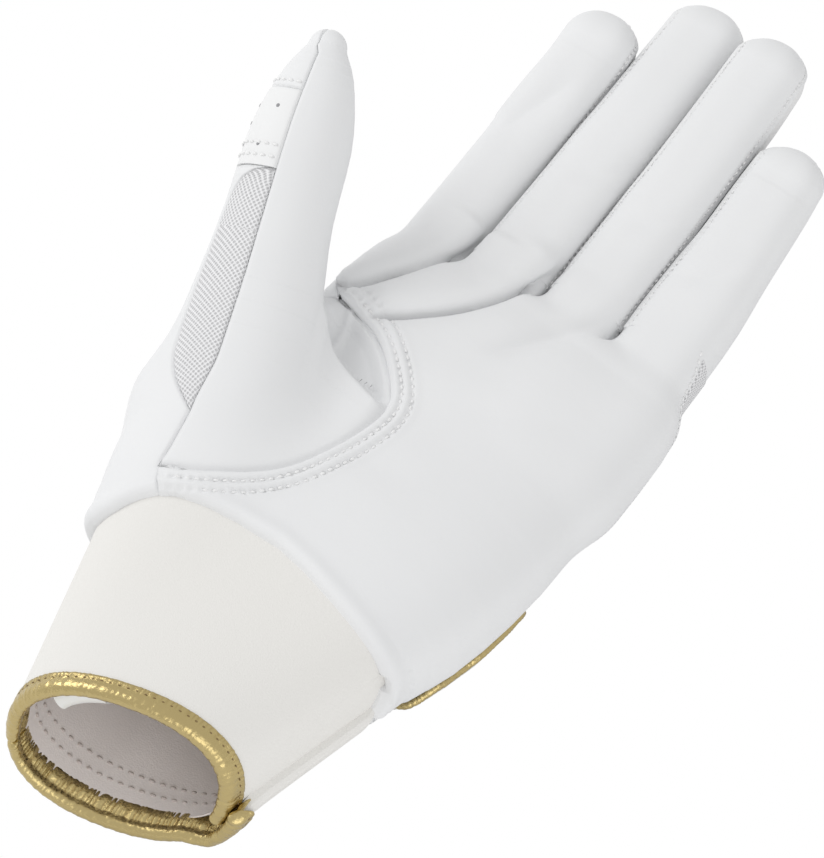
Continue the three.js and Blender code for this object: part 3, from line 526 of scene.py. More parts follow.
def sheet(name, outer, inner, material):
    """A closed sheet between an outer and an inner grid, with the cut's measures as its UV map."""
    rows, cols = outer.shape[:2]
    points = np.concatenate([outer.reshape(-1, 3), inner.reshape(-1, 3)])
    faces = sheet_faces(rows, cols)
    if inside_out(points, faces):
        faces = faces[:, ::-1]
    across, down = lengths(outer, 1), lengths(outer, 0)
    uv = np.stack([across - across[:, cols // 2:cols // 2 + 1], down], -1).reshape(-1, 2) / 1000
    return make_object(name, points, faces.tolist(), material, np.concatenate([uv, uv]))


def texture_on(tree, kind, scale, detail=None):
    """The output of a texture that is fixed in the piece's own space."""
    place, texture = tree.nodes.new("ShaderNodeTexCoord"), tree.nodes.new(kind)
    texture.inputs["Scale"].default_value = scale
    if detail is not None:
        texture.inputs["Detail"].default_value = detail
    tree.links.new(place.outputs["Object"], texture.inputs["Vector"])
    return texture.outputs["Distance" if kind == "ShaderNodeTexVoronoi" else "Fac"]


def relief(tree, shader, *layers, inward=False):
    """Fine relief from layers, each a height, a strength and a distance; the finest comes first."""
    under = None
    for height, strength, distance in layers:
        bump = tree.nodes.new("ShaderNodeBump")
        bump.invert = inward
        bump.inputs["Strength"].default_value, bump.inputs["Distance"].default_value = strength, distance
        tree.links.new(height, bump.inputs["Height"])
        if under:
            tree.links.new(under, bump.inputs["Normal"])
        under = bump.outputs["Normal"]
    tree.links.new(under, shader.inputs["Normal"])


def two_toned(tree, shader, share, first, second):
    """Colour that runs from a first tone to a second one with a share."""
    tone = tree.nodes.new("ShaderNodeMix")
    tone.data_type = "RGBA"
    tone.inputs["A"].default_value, tone.inputs["B"].default_value = (*first, 1), (*second, 1)
    tree.links.new(share, tone.inputs["Factor"])
    tree.links.new(tone.outputs["Result"], shader.inputs["Base Color"])


def leather(name, colour, grain=0.045, roughness=0.62):
    """Soft sheepskin: close pores, faint creases and a slight change of tone."""
    material, tree, shader = new_material(name, colour, roughness)
    pores, creases = texture_on(tree, "ShaderNodeTexVoronoi", 1500), texture_on(tree, "ShaderNodeTexNoise", 420, 4)
    relief(tree, shader, (pores, grain, 0.0002), (creases, grain * 2, 0.0005))
    two_toned(tree, shader, texture_on(tree, "ShaderNodeTexNoise", 28, 2),
              [c * 0.965 for c in colour], [min(1, c * 1.02) for c in colour])
    shader.inputs["Specular IOR Level"].default_value = 0.35
    return material


palm_white = leather("palm_leather", (0.795, 0.80, 0.807))

# Rows from the wrist to the webs; columns in lanes, one for each finger.
# Angles round a finger at which its leather begins and ends; the index and
# the little finger's leather goes on round their free sides.
rows_r = np.linspace(0, row_count, row_count * sub_rows + 1)
fingers = list(finger_sizes.values())
leather_first, leather_last, wrap_first, wrap_last = -62, 80, -125, 125
leather_angles = [(wrap_first, leather_last), (leather_first, leather_last), (leather_first, leather_last),
                  (leather_first, wrap_last)]
leather_columns = (52, 36, 36, 52)
lane_columns = []
for k, (first, last) in enumerate(leather_angles):
    lane_columns += [(k, a) for a in np.linspace(first, last, leather_columns[k])] + ([(k, None)] if k < 3 else [])


def lane_points(y, columns):
    """Points of the fingers' own skins at each column of a grid, for y given as rows by columns."""
    points = np.zeros((*y.shape, 3))
    for k, finger in enumerate(fingers):
        own = [j for j, (lane, a) in enumerate(columns) if lane == k and a is not None]
        angles = np.array([columns[j][1] for j in own], float)
        points[:, own] = finger_point(finger, y[:, own], angles[None])
    for j, (lane, a) in enumerate(columns):
        if a is None:
            points[:, j] = (points[:, j - 1] + points[:, j + 1]) / 2
    return points


def web_edge(columns):
    """The web line's ys and points at the columns of a grid."""
    y = np.full((1, len(columns)), 88.0)
    for _ in range(7):
        p = lane_points(y, columns)
        y = web_y(p[..., 0])
    return y[0], lane_points(y, columns)[0]


wrist_guess = -17
wrist_y_at, _ = settled(
    lambda y: palm_point(np.array([wrist_start_share, 1.0]), y), lambda p: wrist_y(p[..., 0], p[..., 2]),
    wrist_guess, 2)
wrist_corner = palm_point(np.array([wrist_start_share]), wrist_y_at[:1])[0]
thenar_ends = seam_at([1.0, 10.0])
_, web_points = web_edge(lane_columns)

# Past the thumb seam the palm's edge runs over the crest of the web, as shares and ys
crest_shares = np.array([[0.07, 61.0], [0.0, 69.0], [0.0, 83.0]])


def palm_left_edge(r):
    """Points of the palm's thumb-side edge at row numbers."""
    points = np.zeros((len(r), 3))
    on_seam = (r >= 1) & (r <= 10)
    points[on_seam] = seam_at(r[on_seam])
    start = [wrist_start_share, wrist_corner[1]]
    foot = [palm_share(thenar_ends[0]), thenar_ends[0][1]]
    below = r < 1
    points[below] = palm_point(*mix(np.array(start), np.array(foot), r[below][:, None]).T)
    above = r > 10
    head = np.array([[palm_share(thenar_ends[1]), thenar_ends[1][1]], *crest_shares])
    points[above] = palm_point(*spline(head, r[above] - 10).T)
    return points


def near_web(y, top_y, reach=9):
    """How fully points take the fingers' own shapes, by their distance below the web line."""
    return smooth(1 - (top_y - y) / reach)


gusset_first, gusset_width = 6, 20


def gusset_open(r):
    """Degrees round the little-finger edge that the mesh takes from the back at row numbers."""
    share = (r - gusset_first) / (row_count - gusset_first)
    lens = gusset_width * mix(0.12, 1, np.sin(np.pi * np.clip(share, 0, 1)))
    return np.where(r < gusset_first, 0, lens) * smooth((r - gusset_first + 0.6) / 1.2)


ulnar_top = web_points[-1]
ulnar_ys = mix(wrist_y_at[1], ulnar_top[1], rows_r / row_count)
palm_left = palm_left_edge(rows_r)
palm_right = np.stack([np.ones_like(rows_r), ulnar_ys], -1)
palm_right[-1, 0] = palm_share(ulnar_top)
palm_top = np.stack([palm_share(web_points), web_points[:, 1]], -1)
palm_top[0] = [0, 83]
palm_u = (palm_top[:, 0] - palm_top[0, 0]) / (palm_top[-1, 0] - palm_top[0, 0])
palm_bottom_shares = mix(wrist_start_share, 1, palm_u)
palm_bottom_ys, _ = settled(
    lambda y: palm_point(palm_bottom_shares, y), lambda p: wrist_y(p[..., 0], p[..., 2]), wrist_guess, len(palm_u))
palm_shares = filled(
    np.stack([palm_bottom_shares, palm_bottom_ys], -1), palm_top,
    np.stack([palm_share(palm_left), palm_left[:, 1]], -1), palm_right, palm_u, rows_r / row_count)
palm_grid = palm_point(palm_shares[..., 0], palm_shares[..., 1])
palm_grid[:, 0] = palm_left
web_weight = near_web(palm_shares[..., 1], palm_top[:, 1][None])
rows_near = np.flatnonzero(web_weight.max(1) > 0)
lanes = lane_points(palm_shares[rows_near, :, 1], lane_columns)
palm_grid[rows_near] = mix(palm_grid[rows_near], lanes, web_weight[rows_near][..., None])
palm_edge_ulnar = palm_grid[:, -1].copy()

first_row, _, first_col, last_col = edge_distances(palm_grid)
palm_normals = grid_normals(palm_grid, np.array([0, 0, 1.0]))
seam_gap, seam_along = line_distance(palm_grid, seam_line[::4])
crack_at = np.array([a is None for _, a in lane_columns])[None]


def stitched_edge(distance, along, height, rows=(2.4, 5.0), pitch=2.2):
    """Rise of a turned edge that lies over another leather and is stitched down along it."""
    dip_depth, dip_width, ridge_height, ridge_width, ridge_before = 0.62, 0.6, 0.16, 0.7, 1.25
    rise = height * smooth(1 - (distance - 1.5) / (rows[-1] + 1.5)) - tucked(distance, 1.0, 1.0)
    pull_in = 0.62 + 0.38 * np.cos(2 * np.pi * along / pitch)
    for row in rows:
        rise -= dip_depth * pull_in * hump(distance - row, dip_width)
    for ridge in np.array(rows) - ridge_before:
        rise += ridge_height * hump(distance - ridge, ridge_width)
    return rise


def beside(points, line):
    """Distance from a line in plan, the share along it, and the side: 1 to its left, -1 to its right."""
    distance, along = line_distance(points[..., :2], line)
    nearest = (along * (len(line) - 1)).astype(int).clip(0, len(line) - 2)
    run, away = (line[1:] - line[:-1])[nearest], points[..., :2] - line[nearest]
    return distance, along, np.sign(run[..., 0] * away[..., 1] - run[..., 1] * away[..., 0])


def crease(points, line, depth, width, ridges=(0, 0), reach=3.5, taper=0.15):
    """Rise for a fold in plan: a groove along a line with a ridge to its left and right."""
    distance, along, side = beside(points, spline(line, np.linspace(0, len(line) - 1, 40)))
    ends = smooth(along / taper) * smooth((1 - along) / taper)
    swell = (distance / reach) * np.exp(0.5 - 0.5 * (distance / reach) ** 2)
    return ends * (np.where(side > 0, ridges[0], ridges[1]) * swell - depth * hump(distance, width))


def wrist_lip(distance):
    """The soft turned edge that lies over the cuff."""
    lip_height, lip_middle, lip_width = 0.7, 2.6, 2.2
    return lip_height * hump(distance - lip_middle, lip_width) - tucked(distance, lip_width, 2.0)


palm_rise = wrist_lip(first_row) + stitched_edge(seam_gap, seam_along * seam_length[-1], 1.0)
palm_rise = palm_rise - tucked(first_col) * smooth((rows_r - 10) / 0.8)[:, None]
palm_rise = palm_rise - tucked(last_col, 0.8, 0.6) * (rows_r >= gusset_first)[:, None]
crack_depth = 1.1
palm_rise = palm_rise - crack_depth * crack_at * web_weight

# Each fold: its line, depth, width, ridges to its left and right, their reach, and how soon its ends run out
glove_creases = [
    ([(-31, 49), (-28, 54.6), (-22.3, 61.6), (-16.6, 71.6), (-12.6, 83.4), (-11.5, 92)],
     2.6, 0.9, (1.6, 1.5), 4.2, 0.06),
    ([(-18, 49), (-11.5, 54.7), (-3, 63.9), (2.8, 73.4), (7.2, 88.3), (8, 96)], 3.0, 0.8, (1.7, 0.8), 4.6, 0.12),
    ([(6.9, 56.7), (13.2, 64.2), (19.5, 75.5), (25.7, 88.2), (27, 95)], 1.1, 3.0, (0.4, 0.4), 5.0, 0.3),
    ([(-33, 112), (-25.7, 114.9), (-23.1, 121.4), (-19.6, 130.8), (-17, 140)], 0.6, 3.4, (0.8, 0.5), 6.0, 0.4),
    ([(-4, 20), (10, 16), (24, 20)], 0.25, 5.0, (0.1, 0.1), 8.0, 0.4),
    ([(12, 40), (24, 46), (38, 58)], 0.3, 4.0, (0.15, 0.15), 7.0, 0.4),
    ([(-6, 112), (3, 118), (8, 128)], 0.35, 2.4, (0.25, 0.2), 4.0, 0.4),
    ([(12, 108), (20, 113), (27, 122)], 0.35, 2.4, (0.2, 0.2), 4.0, 0.4),
    ([(30, 104), (38, 110), (44, 118)], 0.3, 2.4, (0.2, 0.2), 4.0, 0.4),
]


def creased(points, normals):
    """Rise for all folds of the glove's upper side."""
    rise = sum(crease(points, *fold) for fold in glove_creases)
    return rise * smooth((normals[..., 2] - 0.1) / 0.6)


palm_rise = palm_rise + creased(palm_grid, palm_normals)
palm_skin = palm_grid + palm_normals * palm_rise[..., None]
palm_piece = sheet("palm", palm_skin, palm_skin - palm_normals * leather_thick, palm_white)
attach(palm_piece, "hand")
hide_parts("palm_leather")

# White thread: each stitch is a short bead, set along the seam and leaning on the leather
thread_white, _, _ = new_material("white_thread", (0.83, 0.83, 0.83), 0.6)
stitch_tree = bpy.data.node_groups.new("stitch_row", "GeometryNodeTree")
sockets = stitch_tree.interface
sockets.new_socket("Geometry", in_out="INPUT", socket_type="NodeSocketGeometry")
for label, value in (("Pitch", 0.002), ("Stitch length", 0.0014), ("Thread width", 0.00055)):
    sockets.new_socket(label, in_out="INPUT", socket_type="NodeSocketFloat").default_value = value
sockets.new_socket("Thread", in_out="INPUT", socket_type="NodeSocketMaterial")
sockets.new_socket("Geometry", in_out="OUTPUT", socket_type="NodeSocketGeometry")


def build_stitches(tree):
    """Beads at a pitch along the edges of a path mesh, each leaning on its named way out."""
    nodes, links = tree.nodes, tree.links
    sizes, result = nodes.new("NodeGroupInput"), nodes.new("NodeGroupOutput")
    path, spaced = nodes.new("GeometryNodeMeshToCurve"), nodes.new("GeometryNodeResampleCurve")
    spaced.mode = "LENGTH"
    along, off = nodes.new("GeometryNodeInputTangent"), nodes.new("GeometryNodeInputNamedAttribute")
    off.data_type, off.inputs["Name"].default_value = "FLOAT_VECTOR", "out"
    kept = nodes.new("GeometryNodeCaptureAttribute")
    kept.capture_items.new("VECTOR", "along")
    kept.capture_items.new("VECTOR", "off")
    points, bead = nodes.new("GeometryNodeInstanceOnPoints"), nodes.new("GeometryNodeMeshUVSphere")
    bead.inputs["Segments"].default_value, bead.inputs["Rings"].default_value = 6, 4
    bead.inputs["Radius"].default_value = 0.5
    lie, lean = nodes.new("FunctionNodeAlignRotationToVector"), nodes.new("FunctionNodeAlignRotationToVector")
    lie.axis, lean.axis, lean.pivot_axis = "X", "Z", "X"
    size, real = nodes.new("ShaderNodeCombineXYZ"), nodes.new("GeometryNodeRealizeInstances")
    soft, paint = nodes.new("GeometryNodeSetShadeSmooth"), nodes.new("GeometryNodeSetMaterial")
    for a, b in (
        (sizes.outputs["Geometry"], path.inputs["Mesh"]), (path.outputs["Curve"], spaced.inputs["Curve"]),
        (sizes.outputs["Pitch"], spaced.inputs["Length"]), (spaced.outputs["Curve"], kept.inputs["Geometry"]),
        (along.outputs["Tangent"], kept.inputs["along"]), (off.outputs["Attribute"], kept.inputs["off"]),
        (kept.outputs["Geometry"], points.inputs["Points"]), (bead.outputs["Mesh"], points.inputs["Instance"]),
        (kept.outputs["along"], lie.inputs["Vector"]), (lie.outputs["Rotation"], lean.inputs["Rotation"]),
        (kept.outputs["off"], lean.inputs["Vector"]), (lean.outputs["Rotation"], points.inputs["Rotation"]),
        (sizes.outputs["Stitch length"], size.inputs["X"]), (sizes.outputs["Thread width"], size.inputs["Y"]),
        (sizes.outputs["Thread width"], size.inputs["Z"]), (size.outputs["Vector"], points.inputs["Scale"]),
        (points.outputs["Instances"], real.inputs["Geometry"]), (real.outputs["Geometry"], soft.inputs["Geometry"]),
        (soft.outputs["Geometry"], paint.inputs["Geometry"]), (sizes.outputs["Thread"], paint.inputs["Material"]),
        (paint.outputs["Geometry"], result.inputs["Geometry"]),
    ):
        links.new(a, b)


build_stitches(stitch_tree)


def grown(name, verts, edges, tree, attributes, **values):
    """A plain mesh made by a node tree from a path mesh; values are the tree's named inputs."""
    mesh = bpy.data.meshes.new(name)
    mesh.from_pydata((np.asarray(verts) + glove_place) / 1000, edges, [])
    for label, vectors in attributes.items():
        layer = mesh.attributes.new(label, "FLOAT_VECTOR", "POINT")
        layer.data.foreach_set("vector", np.asarray(vectors, np.float32).ravel())
    obj = bpy.data.objects.new(name, mesh)
    bpy.context.collection.objects.link(obj)
    modifier = obj.modifiers.new(tree.name, "NODES")
    modifier.node_group = tree
    for item in tree.interface.items_tree:
        if item.in_out == "INPUT" and item.name in values:
            modifier[item.identifier] = values[item.name]
    view = bpy.context.evaluated_depsgraph_get()
    made = bpy.data.meshes.new_from_object(obj.evaluated_get(view), depsgraph=view)
    obj.modifiers.remove(modifier)
    obj.data = made
    made.name = name
    return obj


def sewn(name, rows, pitch=2.2, length=1.6, width=0.74, thread=thread_white):
    """Stitches along rows, each given as points and the way out of the leather there."""
    verts, outs, edges, start = [], [], [], 0
    for points, out in rows:
        verts.append(points)
        outs.append(out)
        edges += [(start + i, start + i + 1) for i in range(len(points) - 1)]
        start += len(points)
    return grown(name, np.concatenate(verts), edges, stitch_tree, {"out": np.concatenate(outs)},
                 **{"Pitch": pitch / 1000, "Stitch length": length / 1000, "Thread width": width / 1000,
                    "Thread": thread})


def at_columns(grid, columns):
    """Points of each row of a grid at column numbers, one for each row."""
    i = np.clip(columns.astype(int), 0, grid.shape[1] - 2)
    rows = np.arange(len(columns))
    return mix(grid[rows, i], grid[rows, i + 1], (columns - i)[:, None])


def inset_row(skin, normals, distance, inset, rows, span):
    """A stitch row at a distance from a seam, with the way out; span is how many columns it looks at."""
    rows = np.array([r for r in rows if (distance[r, :span] < inset).any()])
    last = np.array([np.flatnonzero(distance[r, :span - 1] < inset)[-1] for r in rows])
    here, after = distance[rows, last], distance[rows, last + 1]
    columns = last + np.clip((inset - here) / np.maximum(after - here, 1e-6), 0, 1)
    return at_columns(skin[rows], columns), at_columns(normals[rows], columns)


seam_rows = np.arange(sub_rows // 2, 10 * sub_rows - 2)
seam_insets = (2.4, 5.0)
thumb_stitches = sewn("thumb_seam_stitches", [
    inset_row(palm_skin, palm_normals, seam_gap, inset, seam_rows, 60) for inset in seam_insets])
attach(thumb_stitches, "hand")

# ---------------------------------------------------------------------------
# Thumb leathers.
# The bulging front of the thumb is one leather, let into the palm; it turns
# over the tip, where a nail-side piece and a perforated piece meet it.
cut_share, knuckle_share, cross_share, tube_share = 0.535, 0.635, 0.8, 0.94
front_seam_angle, far_seam_angle = -15, 138
far_seam_turn = far_seam_angle - 360
mesh_edge = np.array([
    [0.224, -22], [0.27, -42], [0.314, -55], [0.42, -66], [0.535, -71], [0.585, -68], [0.612, -57], [0.627, -41],
    [0.635, -21],
])
mesh_foot_share, mesh_foot_angle = mesh_edge[0]
thumb_u = np.linspace(0, 1, 121)
thumb_v = np.linspace(0, 1, 201)


def mesh_edge_angle(share):
    """The angle of the mesh's outer edge at shares of the thumb's length."""
    u = np.interp(share, mesh_edge[:, 0], np.arange(len(mesh_edge)))
    return spline(mesh_edge[:, 1:], u)[..., 0]


def mesh_front_edge(t):
    """Share and angle along the seam between the mesh and the front leather."""
    return np.stack([mix(mesh_foot_share, cut_share, t), mix(mesh_foot_angle, front_seam_angle, smooth(3 * t))], -1)


mesh_foot = thumb_point(mesh_foot_share, mesh_foot_angle)
web_far = thumb_point(cut_share, far_seam_angle)


def side_seam(t):
    """From the start of the thumb seam to the foot of the mesh."""
    return laid_on(hand_skin, mix(thenar_ends[0], mesh_foot, np.asarray(t)[:, None]))


def thumb_web(t):
    """From the end of the thumb seam to the far side of the thumb's first ring."""
    return laid_on(hand_skin, mix(thenar_ends[1], web_far, np.asarray(t)[:, None]))


foot = 1 / 10
ring_angles = mix(front_seam_angle, far_seam_angle, thumb_u)
thumb_left = np.concatenate([
    side_seam(thumb_v[thumb_v < foot] / foot),
    thumb_point(*mesh_front_edge((thumb_v[thumb_v >= foot] - foot) / (1 - foot)).T)])
few_u, few_v = thumb_u[::5], thumb_v[::5]
loose = filled(seam_at(1 + 9 * few_u), thumb_point(np.full_like(few_u, cut_share), ring_angles[::5]),
               thumb_left[::5], thumb_web(few_v), few_u, few_v)
loose = laid_on(hand_skin, loose)
easing_rounds, easing = 30, 0.7
for _ in range(easing_rounds):
    inner = (loose[:-2, 1:-1] + loose[2:, 1:-1] + loose[1:-1, :-2] + loose[1:-1, 2:]) / 4
    loose[1:-1, 1:-1] = laid_on(hand_skin, mix(loose[1:-1, 1:-1], inner, easing))
across_u = np.linspace(0, len(few_u) - 1, len(thumb_u))
down_v = np.linspace(0, len(few_v) - 1, len(thumb_v))
dense = spline(loose.reshape(len(few_v), -1), down_v).reshape(len(down_v), len(few_u), 3)
dense = spline(dense.swapaxes(0, 1).reshape(len(few_u), -1), across_u)
dense = dense.reshape(len(across_u), len(down_v), 3).swapaxes(0, 1)
thumb_base_grid = laid_on(hand_skin, dense)
thumb_base_grid[0] = seam_at(1 + 9 * thumb_u)
thumb_base_grid[-1] = thumb_point(np.full_like(thumb_u, cut_share), ring_angles)
thumb_base_grid[:, 0], thumb_base_grid[:, -1] = thumb_left, thumb_web(thumb_v)


def corner_edge(grid):
    """Radius and depth of a turned edge that runs out where three leathers meet."""
    near = np.min([np.linalg.norm(grid - end, axis=-1) for end in thenar_ends], axis=0)
    return 0.9, 0.75 * smooth(near / 4)


def skin_piece(name, node, grid, material, thickness, outward, sides, slot, rise=0, edge=(0.9, 0.75)):
    """A panel whose sides turn under: a its first row, b its last row, c its first column, d its last one."""
    distances = edge_distances(grid)
    normals = skin_out(grid) if outward is None else grid_normals(grid, outward)
    drops = [tucked(d, *edge) for d, side in zip(distances, "abcd") if side in sides]
    drop = np.max([*drops, 0 * distances[0]], axis=0)
    skin = grid + normals * (rise - drop)[..., None] if sides or not np.isscalar(rise) else grid
    piece = sheet(name, skin, skin - normals * thickness, material)
    if node:
        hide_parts(node)
    return piece


bulge_fold = [(7, 31.8), (3.2, 31.4), (-1.9, 31.9), (-6.2, 33.2), (-10.8, 34.8), (-15, 36.4), (-18.4, 38),
              (-21.6, 40.6), (-25.4, 44.6), (-29, 50)]
short_seam = [(-18.6, 38.6), (-20.6, 44.5), (-22.1, 49.6), (-22.9, 53.7)]
pocket_depth, ball_height, fold_spread, seam_hold = 4.4, 1.5, 9, 4


def bulge_rise(points):
    """The ball of the thumb swells over a pocket of slack leather beside the seam."""
    distance, along, side = beside(points, spline(bulge_fold, np.linspace(0, len(bulge_fold) - 1, 60)))
    side = side * distance
    ends = smooth(along / 0.1) * smooth((1 - along) / 0.25)
    seam_far = line_distance(points, seam_line[::4])[0]
    pocket = -pocket_depth * hump(side, fold_spread) * mix(0.12, 1, smooth(seam_far / seam_hold))
    ball = ball_height * hump(side, fold_spread) * smooth(seam_far / seam_hold)
    ridge, there = line_distance(points[..., :2], short_seam)
    short_rise = 0.7 * hump(ridge, 0.8) * (side < 0) * (smooth(there / 0.1))
    return ends * mix(pocket, ball, smooth((side + 2.2) / 4.0)) + short_rise


swell_top = 40
thumb_low = smooth((swell_top - thumb_base_grid[..., 2]) / 4 + 0.9)
thumb_rise = bulge_rise(thumb_base_grid) * thumb_low - 0.6 * smooth(1 - edge_distances(thumb_base_grid)[0] / 2.4)

# The leather goes on under the palm leather's folded edge
under = thumb_base_grid[0]
under_way = unit(np.cross(np.gradient(under, axis=0), skin_out(under)))
if (under_way * (under - thumb_base_grid[8])).sum() < 0:
    under_way = -under_way
under_steps = np.array([3.2, 2.5, 1.8, 1.1, 0.5])[:, None]
under_grid = laid_on(hand_skin, under[None] + under_way[None] * under_steps[..., None])
whole_base = np.concatenate([under_grid, thumb_base_grid])
thumb_base = skin_piece("thumb_front_base", "thumb_base_leather", whole_base, palm_white,
                        leather_thick, None, "cd", "palm_leather", edge=corner_edge(whole_base),
                        rise=np.concatenate([mix(thumb_rise[:1], -0.85, smooth(under_steps / 3.2)), thumb_rise]))
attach(thumb_base, "hand")


def ring_line(share, reach):
    """Start and end of a line that runs from a ring of the thumb along its length, in metres."""
    centre, _, _, run, _ = (v[0] for v in station(thumb_limb, np.array([share])))
    start = (centre + glove_place) / 1000
    return tuple(start), tuple(start + unit(run) * reach / 1000)


def thumb_tube(shares, first_angle, last_angle, cols):
    """Points of the thumb at shares of its length by angles round it."""
    shares = np.asarray(shares)[:, None]
    first, last = (np.reshape(a, (-1, 1)) if np.ndim(a) else a for a in (first_angle, last_angle))
    return thumb_point(*np.broadcast_arrays(shares, mix(first, last, np.linspace(0, 1, cols)[None])))


thumb_end_centre, thumb_end_right, thumb_end_top, thumb_end_run, _ = (
    v[0] for v in station(thumb_limb, np.array([tube_share])))


def thumb_way(angle):
    """Ways out of the thumb's end at angles round it."""
    a = np.radians(np.asarray(angle, float))[..., None]
    return thumb_end_right * np.sin(a) + thumb_end_top * np.cos(a)


thumb_sideways = thumb_way(np.array((front_seam_angle + far_seam_angle) / 2 + 90))


def thumb_cap(first, last, ends, cols, rows):
    """Points that close the thumb's tip, from angles round it to angles over its end."""
    u, t = np.linspace(0, 1, cols)[None, :, None], np.linspace(0, 1, rows + 1)[1:, None, None]
    w = np.radians(mix(ends[0], ends[1], u))
    end = thumb_sideways * np.sin(w) + thumb_end_run * np.cos(w)
    return cast(hand_skin, thumb_end_centre, mix(thumb_way(mix(first, last, u[..., 0])), end, t))


front_columns, nail_columns, cap_rows, cap_angle = 86, 100, 14, 68
mid_shares = np.linspace(cut_share, knuckle_share, 26)
front_mid_grid = thumb_tube(mid_shares, front_seam_angle, far_seam_angle, front_columns)
front_tip_grid = np.concatenate([
    thumb_tube(np.linspace(knuckle_share, tube_share, 66), front_seam_angle, far_seam_angle, front_columns),
    thumb_cap(front_seam_angle, far_seam_angle, (-cap_angle, cap_angle), front_columns, cap_rows)])
front_mid = skin_piece("thumb_front_middle", "thumb_front_mid", front_mid_grid, palm_white, leather_thick,
                       None, "cd", "palm_leather")
front_tip = skin_piece("thumb_front_end", "thumb_front_tip", front_tip_grid, palm_white, leather_thick,
                       None, "bcd", "palm_leather")
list(ring_line(cut_share, 11))
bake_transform(front_mid)
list(ring_line(knuckle_share, 12))
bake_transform(front_tip)

perforated_white = leather("perforated_leather", (0.815, 0.818, 0.82))
holed_grid = thumb_tube(np.linspace(knuckle_share, cross_share, 44), far_seam_turn, front_seam_angle, nail_columns)
nail_grid = np.concatenate([
    thumb_tube(np.linspace(cross_share, tube_share, 34), far_seam_turn, front_seam_angle, nail_columns),
    thumb_cap(far_seam_turn, front_seam_angle, (cap_angle, -cap_angle), nail_columns, cap_rows)])
holed = skin_piece("thumb_vented", "thumb_perforated_leather", holed_grid, perforated_white, leather_thick,
                   None, "bcd", "perforated_leather")
nail = skin_piece("thumb_nail_side", "thumb_tip_cap", nail_grid, palm_white, leather_thick,
                  None, "abcd", "palm_leather")
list(ring_line(knuckle_share, 12))
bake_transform(holed)
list(ring_line(knuckle_share, 12))
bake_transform(nail)


thread_lift = 0.1


def ring_row(share, first, last):
    """A stitch row round the thumb at a share of its length."""
    points = thumb_point(share, np.linspace(first, last, 80))
    out = skin_out(points)
    return points + out * thread_lift, out


cross_stitches = sewn("thumb_cross_stitches", [
    ring_row(share, -212, -24) for share in (knuckle_share + 0.016, knuckle_share + 0.036, cross_share + 0.018)])
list(ring_line(knuckle_share, 12))
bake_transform(cross_stitches)

# Punched holes: dark little cups set just into the leather; their dark grey is painted shade for the inside of each
# hole
hole_shade_grey, _, _ = new_material("punched_hole_shade", (0.30, 0.30, 0.31), 0.9)
hole_tree = bpy.data.node_groups.new("punched_holes", "GeometryNodeTree")
hole_sockets = hole_tree.interface
hole_sockets.new_socket("Geometry", in_out="INPUT", socket_type="NodeSocketGeometry")
hole_radius = 0.0005
hole_sockets.new_socket("Hole radius", in_out="INPUT", socket_type="NodeSocketFloat").default_value = hole_radius
hole_sockets.new_socket("Edge", in_out="INPUT", socket_type="NodeSocketMaterial")
hole_sockets.new_socket("Geometry", in_out="OUTPUT", socket_type="NodeSocketGeometry")


def build_holes(tree):
    """A shallow cup on each point of a mesh, facing its named way out."""
    nodes, links = tree.nodes, tree.links
    sizes, result = nodes.new("NodeGroupInput"), nodes.new("NodeGroupOutput")
    disc, points = nodes.new("GeometryNodeMeshUVSphere"), nodes.new("GeometryNodeInstanceOnPoints")
    disc.inputs["Segments"].default_value, disc.inputs["Rings"].default_value = 12, 4
    disc.inputs["Radius"].default_value = 1
    off, turn = nodes.new("GeometryNodeInputNamedAttribute"), nodes.new("FunctionNodeAlignRotationToVector")
    off.data_type, off.inputs["Name"].default_value, turn.axis = "FLOAT_VECTOR", "out", "Z"
    flat, size = nodes.new("ShaderNodeMath"), nodes.new("ShaderNodeCombineXYZ")
    flat.operation, flat.inputs[1].default_value = "MULTIPLY", 0.25
    real, paint = nodes.new("GeometryNodeRealizeInstances"), nodes.new("GeometryNodeSetMaterial")
    for a, b in (
        (sizes.outputs["Geometry"], points.inputs["Points"]), (disc.outputs["Mesh"], points.inputs["Instance"]),
        (off.outputs["Attribute"], turn.inputs["Vector"]), (turn.outputs["Rotation"], points.inputs["Rotation"]),
        (sizes.outputs["Hole radius"], size.inputs["X"]), (sizes.outputs["Hole radius"], size.inputs["Y"]),
        (sizes.outputs["Hole radius"], flat.inputs[0]), (flat.outputs[0], size.inputs["Z"]),
        (size.outputs["Vector"], points.inputs["Scale"]), (points.outputs["Instances"], real.inputs["Geometry"]),
        (real.outputs["Geometry"], paint.inputs["Geometry"]), (sizes.outputs["Edge"], paint.inputs["Material"]),
        (paint.outputs["Geometry"], result.inputs["Geometry"]),
    ):
        links.new(a, b)


build_holes(hole_tree)
hole_places = np.array([(0.668, -46.5), (0.748, -38.6)] + [
    (share, angle) for share in (0.668, 0.708, 0.748) for angle in (-80, -110, -140, -170)])
hole_points = thumb_point(hole_places[:, 0], hole_places[:, 1])
hole_outs = skin_out(hole_points)
holes = grown("thumb_holes", hole_points, [], hole_tree, {"out": hole_outs},
              **{"Hole radius": hole_radius, "Edge": hole_shade_grey})
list(ring_line(knuckle_share, 12))
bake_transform(holes)

# ---------------------------------------------------------------------------
# Thumb mesh and the leather round the thumb-side edge of the hand.
# A diamond mesh lets the outer side of the thumb breathe; the leather runs
# from the wrist round the base of the thumb to the back seam.
mesh_white, mesh_tree, mesh_shader = new_material("diamond_mesh", (0.78, 0.79, 0.81), 0.75)


def sum_node(tree, operation, first, second):
    """The output of a sum; each side is another output or a number."""
    node = tree.nodes.new("ShaderNodeMath")
    node.operation = operation
    for socket, side in zip(node.inputs, (first, second)):
        if isinstance(side, (int, float)):
            socket.default_value = side
        elif side:
            tree.links.new(side, socket)
    return node.outputs[0]


